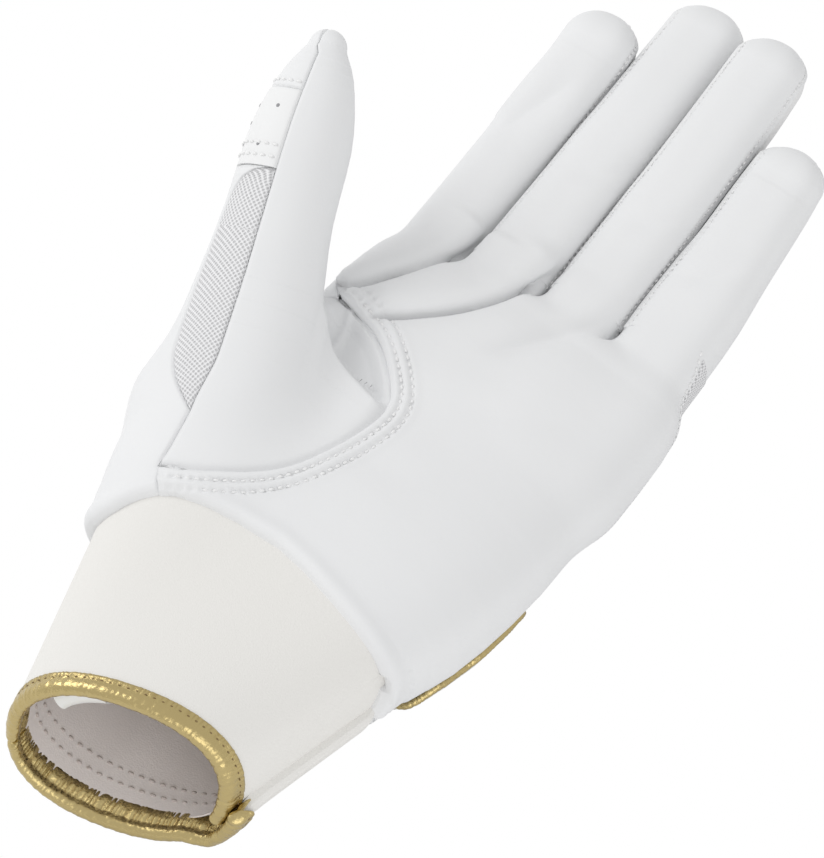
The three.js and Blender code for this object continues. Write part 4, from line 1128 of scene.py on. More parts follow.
def diamond_relief(tree, shader, pitch, light, dark, depth):
    """Crossing slanted threads with small holes between them, on the cut's own measures; the holes get a darker tone as
    painted shade seen through the weave.
    """
    cut, parts = tree.nodes.new("ShaderNodeUVMap"), tree.nodes.new("ShaderNodeSeparateXYZ")
    cut.uv_map = "cloth"
    tree.links.new(cut.outputs["UV"], parts.inputs["Vector"])
    waves = []
    for slant_sign in ("ADD", "SUBTRACT"):
        slant = sum_node(tree, slant_sign, parts.outputs["X"], parts.outputs["Y"])
        wave = sum_node(tree, "SINE", sum_node(tree, "MULTIPLY", slant, math.pi / pitch), None)
        waves.append(sum_node(tree, "POWER", wave, 2))
    holes_and_shade = sum_node(tree, "MULTIPLY", *waves)
    two_toned(tree, shader, holes_and_shade, light, dark)
    relief(tree, shader, (holes_and_shade, 0.8, depth), inward=True)


# The mesh's darker holes are painted shade.
diamond_relief(mesh_tree, mesh_shader, 0.0013, (0.82, 0.82, 0.83), (0.56, 0.56, 0.57), 0.0004)

mesh_thick, mesh_turn = 1.0, (1.0, 1.0)
mesh_t = np.linspace(0, 1, 90)
mesh_shares = mix(mesh_foot_share, cut_share, mesh_t)[:, None]
mesh_u = np.linspace(0, 1, 34)[None]
mesh_angles = mix(mesh_front_edge(mesh_t)[:, 1:], mesh_edge_angle(mesh_shares), mesh_u)
mesh_grid = thumb_point(*np.broadcast_arrays(mesh_shares, mesh_angles))
mesh_mid_angles = mix(float(front_seam_angle), mesh_edge_angle(mid_shares)[:, None], mesh_u)
mesh_mid_grid = thumb_point(*np.broadcast_arrays(mid_shares[:, None], mesh_mid_angles))
mesh_base = skin_piece("thumb_mesh_lower", "thumb_mesh_base", mesh_grid, mesh_white, mesh_thick,
                       None, "acd", "mesh", edge=mesh_turn)
mesh_mid = skin_piece("thumb_mesh_upper", "thumb_mesh_mid", mesh_mid_grid, mesh_white, mesh_thick,
                      None, "bcd", "mesh", edge=mesh_turn)
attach(mesh_base, "hand")
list(ring_line(cut_share, 11))
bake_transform(mesh_mid)

back_mid_u = np.linspace(0, 1, 90)[None]
back_mid_angles = mix(float(far_seam_turn), mesh_edge_angle(mid_shares)[:, None], back_mid_u)
back_mid_grid = thumb_point(*np.broadcast_arrays(mid_shares[:, None], back_mid_angles))
back_mid = skin_piece("thumb_back_middle", "thumb_back_mid", back_mid_grid, palm_white, leather_thick,
                      None, "bcd", "palm_leather")
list(ring_line(cut_share, 11))
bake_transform(back_mid)

# The radial leather's rows leave a core inside the thumb ball
core_rows = np.array([
    [0, -0.267, -0.26, 0.55], [0.133, -0.278, -0.06, 0.625], [0.333, -0.311, 0.08, 0.7],
    [0.6, -0.344, 0.24, 0.75], [0.8, -0.344, 0.42, 0.725], [0.933, -0.4, 0.46, 0.95],
]) * [15, 90, 100, 40]
radial_out = np.array([-1, -0.25, -0.35])
back_seam = np.array([[-0.3, 0.72], [0, 0.74], [0.25, 0.78], [0.45, 0.87], [0.69, 1]])
radial_r = np.linspace(0, 15, 15 * 12 + 1)
radial_u = np.linspace(0, 1, 90)


def back_radial(r):
    """The back seam at row numbers 0 to 12: share and y."""
    y = mix(wrist_back_y, 69, r / 12)
    u = np.interp(y / 100, back_seam[:, 0], np.arange(len(back_seam)))
    return spline(back_seam[:, 1:], u)[..., 0], y


def ring_share(r):
    """The share of the thumb's length at row numbers 2 to 15."""
    return mix(mesh_foot_share, cut_share, (r - 2) / 13)


def radial_right(r):
    """The leather's edge along the palm, the side seam and the mesh."""
    points = np.zeros((len(r), 3))
    by_palm, by_seam, by_mesh = r < 1, (r >= 1) & (r < 2), r >= 2
    points[by_palm] = palm_left_edge(r[by_palm])
    points[by_seam] = side_seam(r[by_seam] - 1)
    share = ring_share(r[by_mesh])
    points[by_mesh] = thumb_point(share, mesh_edge_angle(share))
    return points


def radial_left(r):
    """The leather's edge along the back seam, over the web and to the thumb's first ring."""
    points = np.zeros((len(r), 3))
    by_back, by_web, by_thumb = r <= 12, (r > 12) & (r <= 14), r > 14
    points[by_back] = back_point(*back_radial(r[by_back]))
    points[by_web] = palm_left_edge(24 - r[by_web])
    points[by_thumb] = thumb_web(r[by_thumb] - 14)
    return points


cores = np.stack([np.interp(radial_r, core_rows[:, 0], core_rows[:, k]) for k in (1, 2, 3)], -1)
right_edge, left_edge = radial_right(radial_r), radial_left(radial_r)
ways_a, ways_b = unit(right_edge - cores), unit(left_edge - cores)
ways_m = unit(radial_out)[None]
u = radial_u[None, :, None]
ways = np.where(u < 0.5, mix(ways_a[:, None], ways_m[None], 2 * u), mix(ways_m[None], ways_b[:, None], 2 * u - 1))
radial_grid = cast(hand_skin, np.broadcast_to(cores[:, None], ways.shape), ways)
wrist_ways = ways[0] * [1, 0, 1]


def wrist_ring_at(y):
    """Points round the wrist end at ys, seen from the thumb ball's core."""
    origins = np.stack([np.full_like(y, cores[0, 0]), y, np.full_like(y, cores[0, 2])], -1)
    return cast(hand_skin, origins, wrist_ways)


_, wrist_ring = settled(wrist_ring_at, lambda p: wrist_y(p[..., 0], p[..., 2]), wrist_back_y, len(radial_u))
low_rows = radial_r < 2
low_cores = cores[low_rows][:, None]
lowered = mix(wrist_ring[None], radial_grid[low_rows], (radial_r[low_rows] / 2)[:, None, None])
radial_grid[low_rows] = cast(hand_skin, np.broadcast_to(low_cores, lowered.shape), lowered - low_cores)
radial_grid[0] = wrist_ring
near_ring = smooth((radial_r - 13) / 2)[:, None, None]
top_rows = radial_r > 13
ring_shares = ring_share(radial_r[top_rows])[:, None]
ring_targets = thumb_point(*np.broadcast_arrays(
    ring_shares, mix(mesh_edge_angle(ring_shares), float(far_seam_turn), radial_u[None])))
radial_grid[top_rows] = mix(radial_grid[top_rows], ring_targets, near_ring[top_rows])
pull = smooth((radial_u - 0.7) / 0.3)[None, :, None]
radial_grid[1:-1] += (left_edge - radial_grid[:, -1])[1:-1, None] * pull
radial_grid[1:-1] += (right_edge - radial_grid[:, 0])[1:-1, None] * smooth(1 - radial_u / 0.2)[None, :, None]
radial_grid[1:-1, 1:-1] = laid_on(hand_skin, radial_grid[1:-1, 1:-1])

# The leather bags out over the ball of the thumb: how far, its middle row, its spread and the share it reaches
bag_height, bag_row, bag_spread, bag_reach = 3.2, 5.2, 2.6, 0.62
bag_out = bag_height * hump(radial_r[:, None] - bag_row, bag_spread) * (
    np.sin(np.pi * np.clip(radial_u[None] / bag_reach, 0, 1)) ** 1.5)
radial = skin_piece("thumb_side_leather", "radial_leather", radial_grid, palm_white, leather_thick,
                    None, "cd", "palm_leather", edge=corner_edge(radial_grid),
                    rise=bag_out + wrist_lip(lengths(radial_grid, 0)))
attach(radial, "hand")

# ---------------------------------------------------------------------------
# Back of the hand, knuckle panel and the mesh gusset at the little-finger side.
# Two stretch knits, joined across the back, and a narrow mesh between the
# knit and the palm leather.
knit_white, knit_tree, knit_shader = new_material("stretch_knit", (0.80, 0.81, 0.82), 0.85)
# The knit's darker holes are painted shade.
diamond_relief(knit_tree, knit_shader, 0.0011, (0.80, 0.81, 0.82), (0.66, 0.67, 0.68), 0.00025)
knit_thick, knit_first, knit_last, knit_columns = 1.0, 122, 238, 34
knit_angles = [(knit_first, wrap_first + 360), (knit_first, knit_last), (knit_first, knit_last), (wrap_last, knit_last)]
back_columns = []
for k in (3, 2, 1, 0):
    back_columns += [(k, a) for a in np.linspace(*knit_angles[k], knit_columns)] + ([(k, None)] if k > 0 else [])
_, back_web = web_edge(back_columns)


def back_share(p):
    """The shares at which points of the back lie."""
    cx, cz, flat = flat_at(p[..., 1])
    side = np.clip(p[..., 0] - cx, -flat, flat)
    angle = np.degrees(np.arctan2(p[..., 0] - cx - side, p[..., 2] - cz)) % 360
    low = back_edge_shares[0] * (angle - back_edge_angles[0]) / (180 - back_edge_angles[0])
    high = back_edge_shares[1] + (1 - back_edge_shares[1]) * (angle - 180) / (back_edge_angles[1] - 180)
    flat_share = mix(*back_edge_shares, (flat - side) / (2 * flat))
    return np.where(side >= flat, low, np.where(side <= -flat, high, flat_share))


back_top = np.stack([back_share(back_web), back_web[:, 1]], -1)
back_u = (back_top[:, 0] - back_top[0, 0]) / (back_top[-1, 0] - back_top[0, 0])
back_left = np.stack([back_edge_shares[0] / (180 - back_edge_angles[0]) * gusset_open(rows_r), ulnar_ys], -1)
back_left[-1] = back_top[0]
back_right_shares, back_right_ys = back_radial(np.minimum(rows_r, 12))
past = rows_r > 12
back_right = np.stack([back_right_shares, back_right_ys], -1)
back_right[past] = mix(back_right[past], back_top[-1], (rows_r[past] - 12)[:, None])
back_bottom = np.stack([mix(0, back_right[0, 0], back_u), np.full_like(back_u, wrist_back_y)], -1)
back_shares = filled(back_bottom, back_top, back_left, back_right, back_u, rows_r / row_count)
back_grid = back_point(back_shares[..., 0], back_shares[..., 1])
back_weight = near_web(back_shares[..., 1], back_top[:, 1][None])
rows_near = np.flatnonzero(back_weight.max(1) > 0)
back_lanes = lane_points(back_shares[rows_near, :, 1], back_columns)
back_grid[rows_near] = mix(back_grid[rows_near], back_lanes, back_weight[rows_near][..., None])
back_crack = np.array([a is None for _, a in back_columns])[None]
back_normals = grid_normals(back_grid, np.array([0, 0, -1.0]))
back_grid = back_grid - back_normals * (crack_depth * back_crack * back_weight)[..., None]
knuckle_row = 8 * sub_rows
back_panel = skin_piece("back_knit", "back_hand_panel", back_grid[:knuckle_row + 1], knit_white, knit_thick,
                        np.array([0, 0, -1.0]), "abcd", "finger_knit")
knuckle_panel = skin_piece("knuckle_knit", "knuckle_panel", back_grid[knuckle_row:], knit_white, knit_thick,
                           np.array([0, 0, -1.0]), "acd", "mesh")
for piece in (back_panel, knuckle_panel):
    # The weave runs straight up the hand, so it follows each point's place in plan
    places = np.zeros((len(piece.data.vertices), 3), np.float32)
    piece.data.vertices.foreach_get("co", places.ravel())
    corners = np.zeros(len(piece.data.loops), np.int32)
    piece.data.loops.foreach_get("vertex_index", corners)
    piece.data.uv_layers["cloth"].data.foreach_set("uv", places[corners, :2].ravel())
    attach(piece, "hand")

# The mesh laps over the palm leather's edge, widest at the root of the little finger
gusset_rows = slice(gusset_first * sub_rows, -4)
gusset_ys = mix(palm_edge_ulnar[gusset_rows, 1], back_grid[gusset_rows][:, 0, 1], 0.5)
gusset_turns = np.interp(gusset_ys, [41, 70, 77, 83, 88, 92, 95.5], [118, 117, 102, 86, 76, 66, 58])
gusset_lap = mix(gusset_turns[:, None], palm_edge_angles[1], np.linspace(0, 1, 30)[None])
lap_grid = palm_point(palm_edge_share(gusset_lap), gusset_ys[:, None] + 0 * gusset_lap)
gusset_grid = np.concatenate([
    lap_grid, mix(lap_grid[:, -1:], back_grid[gusset_rows, :1], np.linspace(0, 1, 12)[None, 1:, None])], 1)
lap_rise = mix(0.45, -0.35, smooth((np.arange(gusset_grid.shape[1]) - 22) / 8))[None] + 0 * gusset_grid[..., 0]
gusset = skin_piece("ulnar_mesh", "ulnar_mesh_gusset", gusset_grid, mesh_white, mesh_thick,
                    None, "bc", "mesh", rise=lap_rise, edge=(0.7, 0.6))
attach(gusset, "hand")
sewn_above, seam_before = 76, 5
gusset_seam = palm_point(palm_edge_share(gusset_turns - seam_before), gusset_ys)[gusset_ys > sewn_above]
seam_out = skin_out(gusset_seam)
gusset_stitches = sewn("mesh_edge_stitches", [(gusset_seam + seam_out * thread_lift, seam_out)], 1.8, 1.3, 0.6)
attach(gusset_stitches, "hand")

# ---------------------------------------------------------------------------
# Fingers.
# Each has a leather front, a knit back and narrow side strips; the index and
# the little finger's leather wraps round their free sides. The pieces are
# sewn with a row of stitches close to the leather's edge.


cap_turn = 56
finger_pitch, finger_bead, finger_thread = 1.8, 1.3, 0.62


def finger_strip(finger, first, last, cols, ends):
    """A strip's grids from the web to the middle joint, and from there over the tip."""
    angles = np.linspace(first, last, cols)
    root_y, root = web_row(finger, angles)
    t = np.linspace(0, 1, 60)[:, None]
    base = finger_point(finger, mix(root_y[None], float(finger["bend"]), t), angles[None])
    base[0] = root
    tube_y = np.linspace(finger["bend"], finger["cap_from"], 50)[:, None]
    tube = finger_point(finger, tube_y, angles[None])
    centre = finger["limb"]["centres"][-1]
    w = np.radians(mix(ends[0], ends[1], np.linspace(0, 1, cols)))
    end = np.stack([np.sin(w), np.cos(w), np.zeros_like(w)], -1)
    s = np.linspace(0, 1, 17)[1:, None, None]
    cap = cast(lambda p: limb_distance(finger["limb"], p), centre, mix(turned(angles)[None], end[None], s))
    return base, np.concatenate([tube, cap])


def finger_outward(finger, grid):
    """The way from a finger's middle line to each point."""
    line = finger["limb"]["centres"]
    near = ((grid[..., None, :] - line) ** 2).sum(-1).argmin(-1)
    return grid - line[near]


side_white = leather("side_strip", (0.80, 0.80, 0.80), 0.08, 0.8)


def front_rise(grid, normals, sides, length_before):
    """Folds and stitched edges of a finger's leather, and the rows that its stitches follow."""
    gaps = dict(zip("abcd", edge_distances(grid)))
    near = np.min([gaps[side] for side in sides], axis=0) if sides else np.full(grid.shape[:2], 9.0)
    along = lengths(grid, 0) + length_before
    edge = stitched_edge(near, along, 0.45, rows=(2.0,), pitch=finger_pitch)
    return creased(grid, normals) + edge, gaps


def finger_rows(skin, normals, gaps, sides, inset=2.0):
    """Stitch rows of a front piece: up one side, round the tip where it is sewn, down the other."""
    rows, cols = skin.shape[:2]
    every, half, paths = np.arange(rows), skin.shape[1] // 2, []
    for side in "cd":
        if side not in sides:
            continue
        distance = gaps[side] if side == "c" else gaps[side][:, ::-1]
        flip = slice(None) if side == "c" else slice(None, None, -1)
        keep = every if "b" not in sides else every[gaps["b"][:, half // 3 if side == "c" else -half // 3] > inset]
        points, out = inset_row(skin[:, flip], normals[:, flip], distance, inset, keep, half)
        paths.append([points, out])
    if "b" in sides:
        start = np.array([np.interp(-inset, -gaps["b"][:, c], every) for c in range(cols)])
        inside = (gaps["c"][-12] > inset if "c" in sides else gaps["c"][-12] > 0) & (
            gaps["d"][-12] > inset if "d" in sides else gaps["d"][-12] > 0)
        columns = np.flatnonzero(inside)
        across = at_columns(skin.swapaxes(0, 1)[columns], start[columns])
        across_out = at_columns(normals.swapaxes(0, 1)[columns], start[columns])
        joined_up = [across, across_out]
        if "c" in sides:
            joined_up = [np.concatenate([paths[0][q], joined_up[q]]) for q in (0, 1)]
        if "d" in sides:
            last = paths[-1]
            joined_up = [np.concatenate([joined_up[q], last[q][::-1]]) for q in (0, 1)]
        paths = [joined_up]
    return [tuple(path) for path in paths]


for k, (name, finger) in enumerate(finger_sizes.items()):
    strips = [("front", leather_angles[k], leather_columns[k], (-cap_turn, cap_turn), palm_white, leather_thick,
               "palm_leather"),
              ("back", knit_angles[k], knit_columns, (cap_turn, -cap_turn), knit_white, knit_thick, "finger_knit")]
    if k < 3:
        strips.append(("ulnar_side", (leather_last, knit_first), 12, (cap_turn, cap_turn), side_white, knit_thick,
                       "finger_knit"))
    if k > 0:
        strips.append(("radial_side", (knit_last, 360 + leather_first), 16, (-cap_turn, -cap_turn), side_white,
                       knit_thick, "finger_knit"))
    centre = finger["limb"]["centres"]
    root_y = web_y(np.array([finger["x"] - finger["wide"][0], finger["x"] + finger["wide"][0]])).max()
    for y, reach in ((root_y, 13), (finger["bend"], 12)):
        p = np.array([finger["x"], y, np.interp(y, centre[:, 1], centre[:, 2])]) + glove_place
    sewn_sides = ("" if k == 0 else "c") + ("" if k == 3 else "d")
    for side, (first, last), cols, ends, material, thickness, slot in strips:
        base, tip = finger_strip(finger, first, last, cols, ends)
        if side == "front":
            whole = np.concatenate([base, tip[1:]])
            whole_normals = grid_normals(whole, finger_outward(finger, whole))
            rise, gaps = front_rise(whole, whole_normals, sewn_sides + "b", 0)
            whole_skin = whole + whole_normals * rise[..., None]
            cut = len(base)
            base_skin, tip_skin = whole_skin[:cut], whole_skin[cut - 1:]
            base_out, tip_out = whole_normals[:cut], whole_normals[cut - 1:]
            base_piece = sheet(f"{name}_front_lower", base_skin, base_skin - base_out * thickness, material)
            tip_piece = sheet(f"{name}_front_upper", tip_skin, tip_skin - tip_out * thickness, material)
            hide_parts(f"{name}_front_base")
            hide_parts(f"{name}_front_tip")
            lower = {q: g[:cut] for q, g in gaps.items()}
            upper = {q: g[cut - 1:] for q, g in gaps.items()}
            low_rows = finger_rows(base_skin, base_out, lower, sewn_sides)
            tip_rows = finger_rows(tip_skin, tip_out, upper, sewn_sides + "b")
            low_sewn = sewn(f"{name}_lower_stitches", low_rows, finger_pitch, finger_bead, finger_thread)
            tip_sewn = sewn(f"{name}_upper_stitches", tip_rows, finger_pitch, finger_bead, finger_thread)
            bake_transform(low_sewn)
            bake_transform(tip_sewn)
        else:
            base_piece = skin_piece(f"{name}_{side}_lower", f"{name}_{side}_base", base, material, thickness,
                                    finger_outward(finger, base), "cd", slot)
            tip_piece = skin_piece(f"{name}_{side}_upper", f"{name}_{side}_tip", tip, material, thickness,
                                   finger_outward(finger, tip), "bcd", slot)
        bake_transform(base_piece)
        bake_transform(tip_piece)

# ---------------------------------------------------------------------------
# Cuff.
# Knit-faced neoprene in two pieces: the front one, and a back one that laps
# over it on the little-finger side. A thin lining covers their inside.
cuff_cream, cuff_tree, cuff_shader = new_material("cream_neoprene", (0.79, 0.778, 0.75), 0.9)
neoprene_thick, layer_gap = 2.6, 0.32


def knit_relief(tree, shader, scale, strength, distance):
    """A close jersey: fine grains of thread, faintly ribbed."""
    relief(tree, shader, (texture_on(tree, "ShaderNodeTexVoronoi", scale), strength, distance),
           (texture_on(tree, "ShaderNodeTexNoise", scale / 9, 3), strength / 2, distance * 2))


knit_relief(cuff_tree, cuff_shader, 2300, 0.25, 0.0002)


cuff_centre = np.array([3.5, 0, 23])
opening_wide, opening_deep, opening_y = 26.5, 22, -71


def wrist_ring_point(angle):
    """Points of the cuff's hidden end, under the leathers' edge at the wrist."""
    way = turned(angle) * [1.6, 1, 1]

    def point(y):
        return cast(hand_skin, np.stack([np.full_like(y, cuff_centre[0]), y, np.full_like(y, cuff_centre[2])], -1), way)
    _, p = settled(point, lambda p: wrist_y(p[..., 0], p[..., 2]), wrist_back_y, len(angle))
    inward = unit((cuff_centre - p) * [1, 0, 1])
    return p + [0, 2.5, 0] + inward * (leather_thick + 3 * layer_gap)


def opening_point(angle):
    """Points of the cuff's open end, a slanted oval."""
    def curve(v):
        return np.sign(v) * np.abs(v) ** 0.9
    x = cuff_centre[0] + opening_wide * curve(np.sin(np.radians(angle)))
    z = opening_deep * curve(np.cos(np.radians(angle)))
    return np.stack([x, opening_y + 0.25 * x + 0.2 * z, cuff_centre[2] + z], -1)


def cuff_grid(angles, shares, rise):
    """Cuff points at angles by shares from wrist to opening, raised off the inner form."""
    top, end = wrist_ring_point(angles), opening_point(angles)
    p = mix(top[None], end[None], shares[..., None] if np.ndim(shares) == 2 else shares[:, None, None])
    out = unit((p - cuff_centre) * [1 / 2.56, 0, 1])
    return p + out * np.asarray(rise)[..., None], out


def lap(angle):
    """How fully the back piece has come up over the front one, 0 to 1."""
    return smooth((angle + 214) / -22)


cuff_seam_angle = -100.5
cuff_shares = np.linspace(0, 1, 80)
front_angles = np.linspace(cuff_seam_angle, 112, 230)
flat_rise = np.zeros((len(cuff_shares), len(front_angles)))
cuff_front_grid, cuff_front_out = cuff_grid(front_angles, cuff_shares, flat_rise)
cuff_front = sheet("cuff_front_face", cuff_front_grid, cuff_front_grid - cuff_front_out * neoprene_thick, cuff_cream)
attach(cuff_front, "hand")
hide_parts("cuff_front")
back_angles = np.linspace(cuff_seam_angle, -262, 190)
flap_shares = np.repeat(cuff_shares[:, None], len(back_angles), 1)
flap_lift = mix(neoprene_thick, 3.7, flap_shares**14) + 0.05
flap_rise = lap(back_angles)[None] * flap_lift * mix(0.33, 1, smooth(flap_shares / 0.12))
cuff_back_grid, cuff_back_out = cuff_grid(back_angles, flap_shares, flap_rise)
flap_left = lengths(cuff_back_grid, 1)[:, -1:] - lengths(cuff_back_grid, 1)
flap_edge, flap_press = tucked(flap_left, 1.3, 1.1), 0.3 * smooth(1 - flap_left / 2)
cuff_back = sheet("cuff_back_face", cuff_back_grid - cuff_back_out * flap_edge[..., None],
                  cuff_back_grid - cuff_back_out * (neoprene_thick + flap_press)[..., None], cuff_cream)
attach(cuff_back, "hand")
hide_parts("cuff_back_flap")

lining_pink, lining_tree, lining_shader = new_material("cuff_lining", (0.78, 0.725, 0.70), 0.9)
knit_relief(lining_tree, lining_shader, 2300, 0.2, 0.0002)
lining_angles = np.linspace(-248, 112, 260)
lining_shares = np.linspace(0.02, 0.97, 60)
lining_wave = 0.25 * np.sin(np.radians(lining_angles * 9))[None] * np.sin(np.pi * lining_shares)[:, None]
lining_grid, lining_out = cuff_grid(lining_angles, lining_shares, -neoprene_thick - 0.35 + lining_wave * 0.8)
lining = sheet("cuff_inside", lining_grid, lining_grid - lining_out * 0.4, lining_pink)
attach(lining, "hand")
thread_rose, _, _ = new_material("lining_thread", (0.55, 0.49, 0.46), 0.7)


def lining_row(share):
    """A stitch row round the lining at a share of the cuff's length."""
    points, out = cuff_grid(lining_angles, np.array([share]), np.full((1, len(lining_angles)), -neoprene_thick - 0.85))
    return points[0], -out[0]


lining_stitches = sewn("lining_stitches", [lining_row(0.80), lining_row(0.87)], 2.6, 1.5, 0.8, thread_rose)
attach(lining_stitches, "hand")

# ---------------------------------------------------------------------------
# Gold bindings.
# Thin metallic leather rolled over both cuff edges: smooth on the end face,
# crushed along its outer stitches and gathered in small pleats inside.
gold_leather, gold_tree, gold_shader = new_material("gold_binding", (0.50, 0.40, 0.19), 0.27)
gold_shader.inputs["Metallic"].default_value = 1.0


def crushed_gold(tree, shader):
    """Painted shade: browner in the pinched folds, with fine creases all over."""
    crush = tree.nodes.new("ShaderNodeAttribute")
    crush.attribute_name = "crush"
    two_toned(tree, shader, crush.outputs["Fac"], (0.54, 0.43, 0.20), (0.30, 0.205, 0.075))
    relief(tree, shader, (texture_on(tree, "ShaderNodeTexNoise", 700, 6), 0.5, 0.0006))


crushed_gold(gold_tree, gold_shader)

# The roll's section as millimetres out of the cuff and along it, from the stitched outer edge round the end to the
# pleated inner edge and back inside; folds is how strongly each corner is gathered
binding_profile = np.array([
    [0.08, -1.4], [0.38, -1.2], [0.5, -0.6], [0.28, 0.1], [0.42, 0.9], [0.6, 1.8], [0.48, 2.7], [0.0, 3.45],
    [-0.7, 3.9], [-1.4, 4.02], [-2.1, 3.88], [-2.7, 3.4], [-3.05, 2.7], [-3.1, 2.0], [-2.86, 1.35],
    [-2.9, 0.7], [-3.3, 0.0], [-3.5, -1.2], [-3.38, -2.6], [-2.95, -3.4], [-2.68, -3.1], [-2.68, -1.5], [-2.68, 0.1],
    [-1.3, 0.12], [-0.02, 0.1], [-0.02, -0.6], [-0.02, -1.2],
])
profile_folds = np.interp(np.arange(len(binding_profile)), [0, 2, 4, 13, 15, 16, 17, 18, 26],
                          [0.45, 0.45, 0, 0, 0.6, 0.9, 0.75, 0.22, 0.2])
pleat_pitch = 1.3


def pleats(s, pitch, seed):
    """Uneven waves along an edge, from -1 to 1."""
    wander = 1.7 * np.sin(2 * np.pi * s / (pitch * 5.3) + seed) + 1.1 * np.sin(2 * np.pi * s / (pitch * 3.1) + 2 * seed)
    return np.sin(2 * np.pi * s / pitch + wander)


def rolled(name, edge, out, along, profile, folds, material, end_round=1.6):
    """A binding swept along an edge: profile as (out, along) offsets, folds as its share of pleats at each corner."""
    s = run_length(edge)
    middle = profile.mean(0)
    swell = np.sqrt(np.clip(1 - np.clip(1 - np.minimum(s, s[-1] - s) / end_round, 0, 1) ** 2, 0.02, 1))
    shape = middle + (profile - middle)[None] * swell[:, None, None]
    away = unit(profile - middle)
    patchy = 0.5 + 0.5 * pleats(s, 6.5, 1.0)
    fine = (pleats(s, pleat_pitch, 0.4) * (0.5 + 0.5 * patchy))[:, None] * np.where(
        profile[:, 0] < middle[0], 0.27, 0.1)[None] * folds[None]
    soft = (0.05 * pleats(s, 3.7, 2.0) + 0.03 * pleats(s, 1.6, 5.0))[:, None] * (1 - folds)[None]
    shape = shape + away[None] * (fine + soft)[..., None]
    rings = edge[:, None] + out[:, None] * shape[..., :1] + along[:, None] * shape[..., 1:]
    n, m = rings.shape[:2]
    ids = np.arange(n * m).reshape(n, m)
    around = np.concatenate([ids, ids[:, :1]], 1)
    faces = np.stack([around[:-1, :-1], around[:-1, 1:], around[1:, 1:], around[1:, :-1]], -1).reshape(-1, 4)
    points = rings.reshape(-1, 3)
    if inside_out(points, faces):
        faces = faces[:, ::-1]
        ends = [ids[0].tolist(), ids[-1, ::-1].tolist()]
    else:
        ends = [ids[0, ::-1].tolist(), ids[-1].tolist()]
    made = make_object(name, points, faces.tolist() + ends, material)
    # Painted shade for the valleys of the pleats, read by the gold material.
    crush = np.clip((0.25 * patchy - 0.55 * pleats(s, pleat_pitch, 0.4))[:, None] * folds[None], 0, 1)
    made.data.attributes.new("crush", "FLOAT", "POINT").data.foreach_set("value", crush.ravel().astype(np.float32))
    return made


def cuff_binding(name, node, angles, rise_end):
    """The gold roll along the cuff's open end between angles."""
    shares = np.linspace(0.97, 1, 3)
    grid, out = cuff_grid(angles, shares, np.repeat(rise_end[None], 3, 0))
    made = rolled(name, grid[-1], out[-1], unit(grid[-1] - grid[0]), binding_profile, profile_folds, gold_leather)
    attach(made, "hand")
    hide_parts(node)


flap_rim_rise = 3.8
rim_front = np.linspace(cuff_seam_angle, 114, 620)
rim_back = np.linspace(-100, -264, 520)
cuff_binding("front_cuff_binding", "binding_front", rim_front, np.zeros_like(rim_front))
cuff_binding("back_cuff_binding", "binding_back", rim_back, lap(rim_back) * flap_rim_rise)
thread_brown, _, _ = new_material("binding_thread", (0.20, 0.13, 0.05), 0.5)


def binding_row(angles, rise_end):
    """A stitch row along the gold roll's outer edge."""
    grid, out = cuff_grid(angles, np.array([0.97, 1.0]), np.repeat(rise_end[None], 2, 0))
    along = unit(grid[-1] - grid[0])
    return grid[-1] + out[-1] * 0.3 + along * 0.05, out[-1]


front_row_angles, back_row_angles = np.linspace(-99, 111, 400), np.linspace(-101, -260, 300)
binding_stitches = sewn("binding_stitches", [
    binding_row(front_row_angles, np.zeros(len(front_row_angles))),
    binding_row(back_row_angles, lap(back_row_angles) * flap_rim_rise)], 2.1, 0.8, 0.4, thread_brown)
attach(binding_stitches, "hand")

# ---------------------------------------------------------------------------
# Label.
# A blank white satin tape, folded double and sewn in at the opening.
label_white, _, _ = new_material("satin_label", (0.80, 0.80, 0.78), 0.25)
label_thick = 0.45
loop_turns = np.radians(np.linspace(90, -90, 13))
label_shares = np.concatenate([
    np.linspace(0.76, 0.95, 9), 0.955 + 0.04 * np.cos(loop_turns), np.linspace(0.95, 0.80, 9)])
label_rise = np.concatenate([np.full(9, -3.5), -7.4 + 3.9 * np.sin(loop_turns), np.linspace(-11.3, -10.4, 9)])
label_angles = np.linspace(-50, -16, 25)
label_grid, _ = cuff_grid(label_angles, np.repeat(label_shares[:, None], len(label_angles), 1),
                          np.repeat(label_rise[:, None], len(label_angles), 1))
label_normals = grid_normals(label_grid, label_grid - label_grid[[0, -1]].mean((0, 1)))
label = sheet("satin_loop", label_grid, label_grid - label_normals * label_thick, label_white)
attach(label, "hand")
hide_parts("inner_label")

# ---------------------------------------------------------------------------
# Wrist strap.
# A padded band across the back of the wrist, sewn down at its root; the free
# end is edged in gold and lies over a loop patch and a hook patch.
strap_ys, strap_thick, patch_thick = (-15.5, 20), 1.6, 0.7
strap_turn, strap_puff = 128, 0.4
hinge_share, tab_last, binding_last, root_first, root_last = 0.36, 0.358, 0.345, 0.362, 0.84
strap_white = leather("strap_leather", (0.80, 0.805, 0.815), 0.06)
tape_grey, tape_tree, tape_shader = new_material("closure_tape", (0.66, 0.65, 0.64), 0.95)
knit_relief(tape_tree, tape_shader, 900, 1.0, 0.0006)


def strap_rise(share):
    """How high the strap lies: over the closure patches along its free end, on the knit elsewhere."""
    low, high = strap_thick + layer_gap, 2 * (patch_thick + layer_gap) + strap_thick + layer_gap
    up, down = smooth((share - 0.04) / 0.06), 1 - smooth((share - hinge_share) / 0.09)
    return mix(low, high, np.where(share < hinge_share, up, down))


def strap_start(y):
    """The share at which the free end begins, rounded at its corners and slightly curled."""
    u = np.clip(np.abs(y - sum(strap_ys) / 2) / (strap_ys[1] - strap_ys[0]) * 2, 0, 1)
    curl = 0.014 * hump(y + 1, 3.2) + 0.005 * smooth((-1 - y) / 3) + 0.02 * smooth((-8 - y) / 6)
    return 0.044 + 0.07 * (1 - (1 - u**4) ** 0.25) + curl


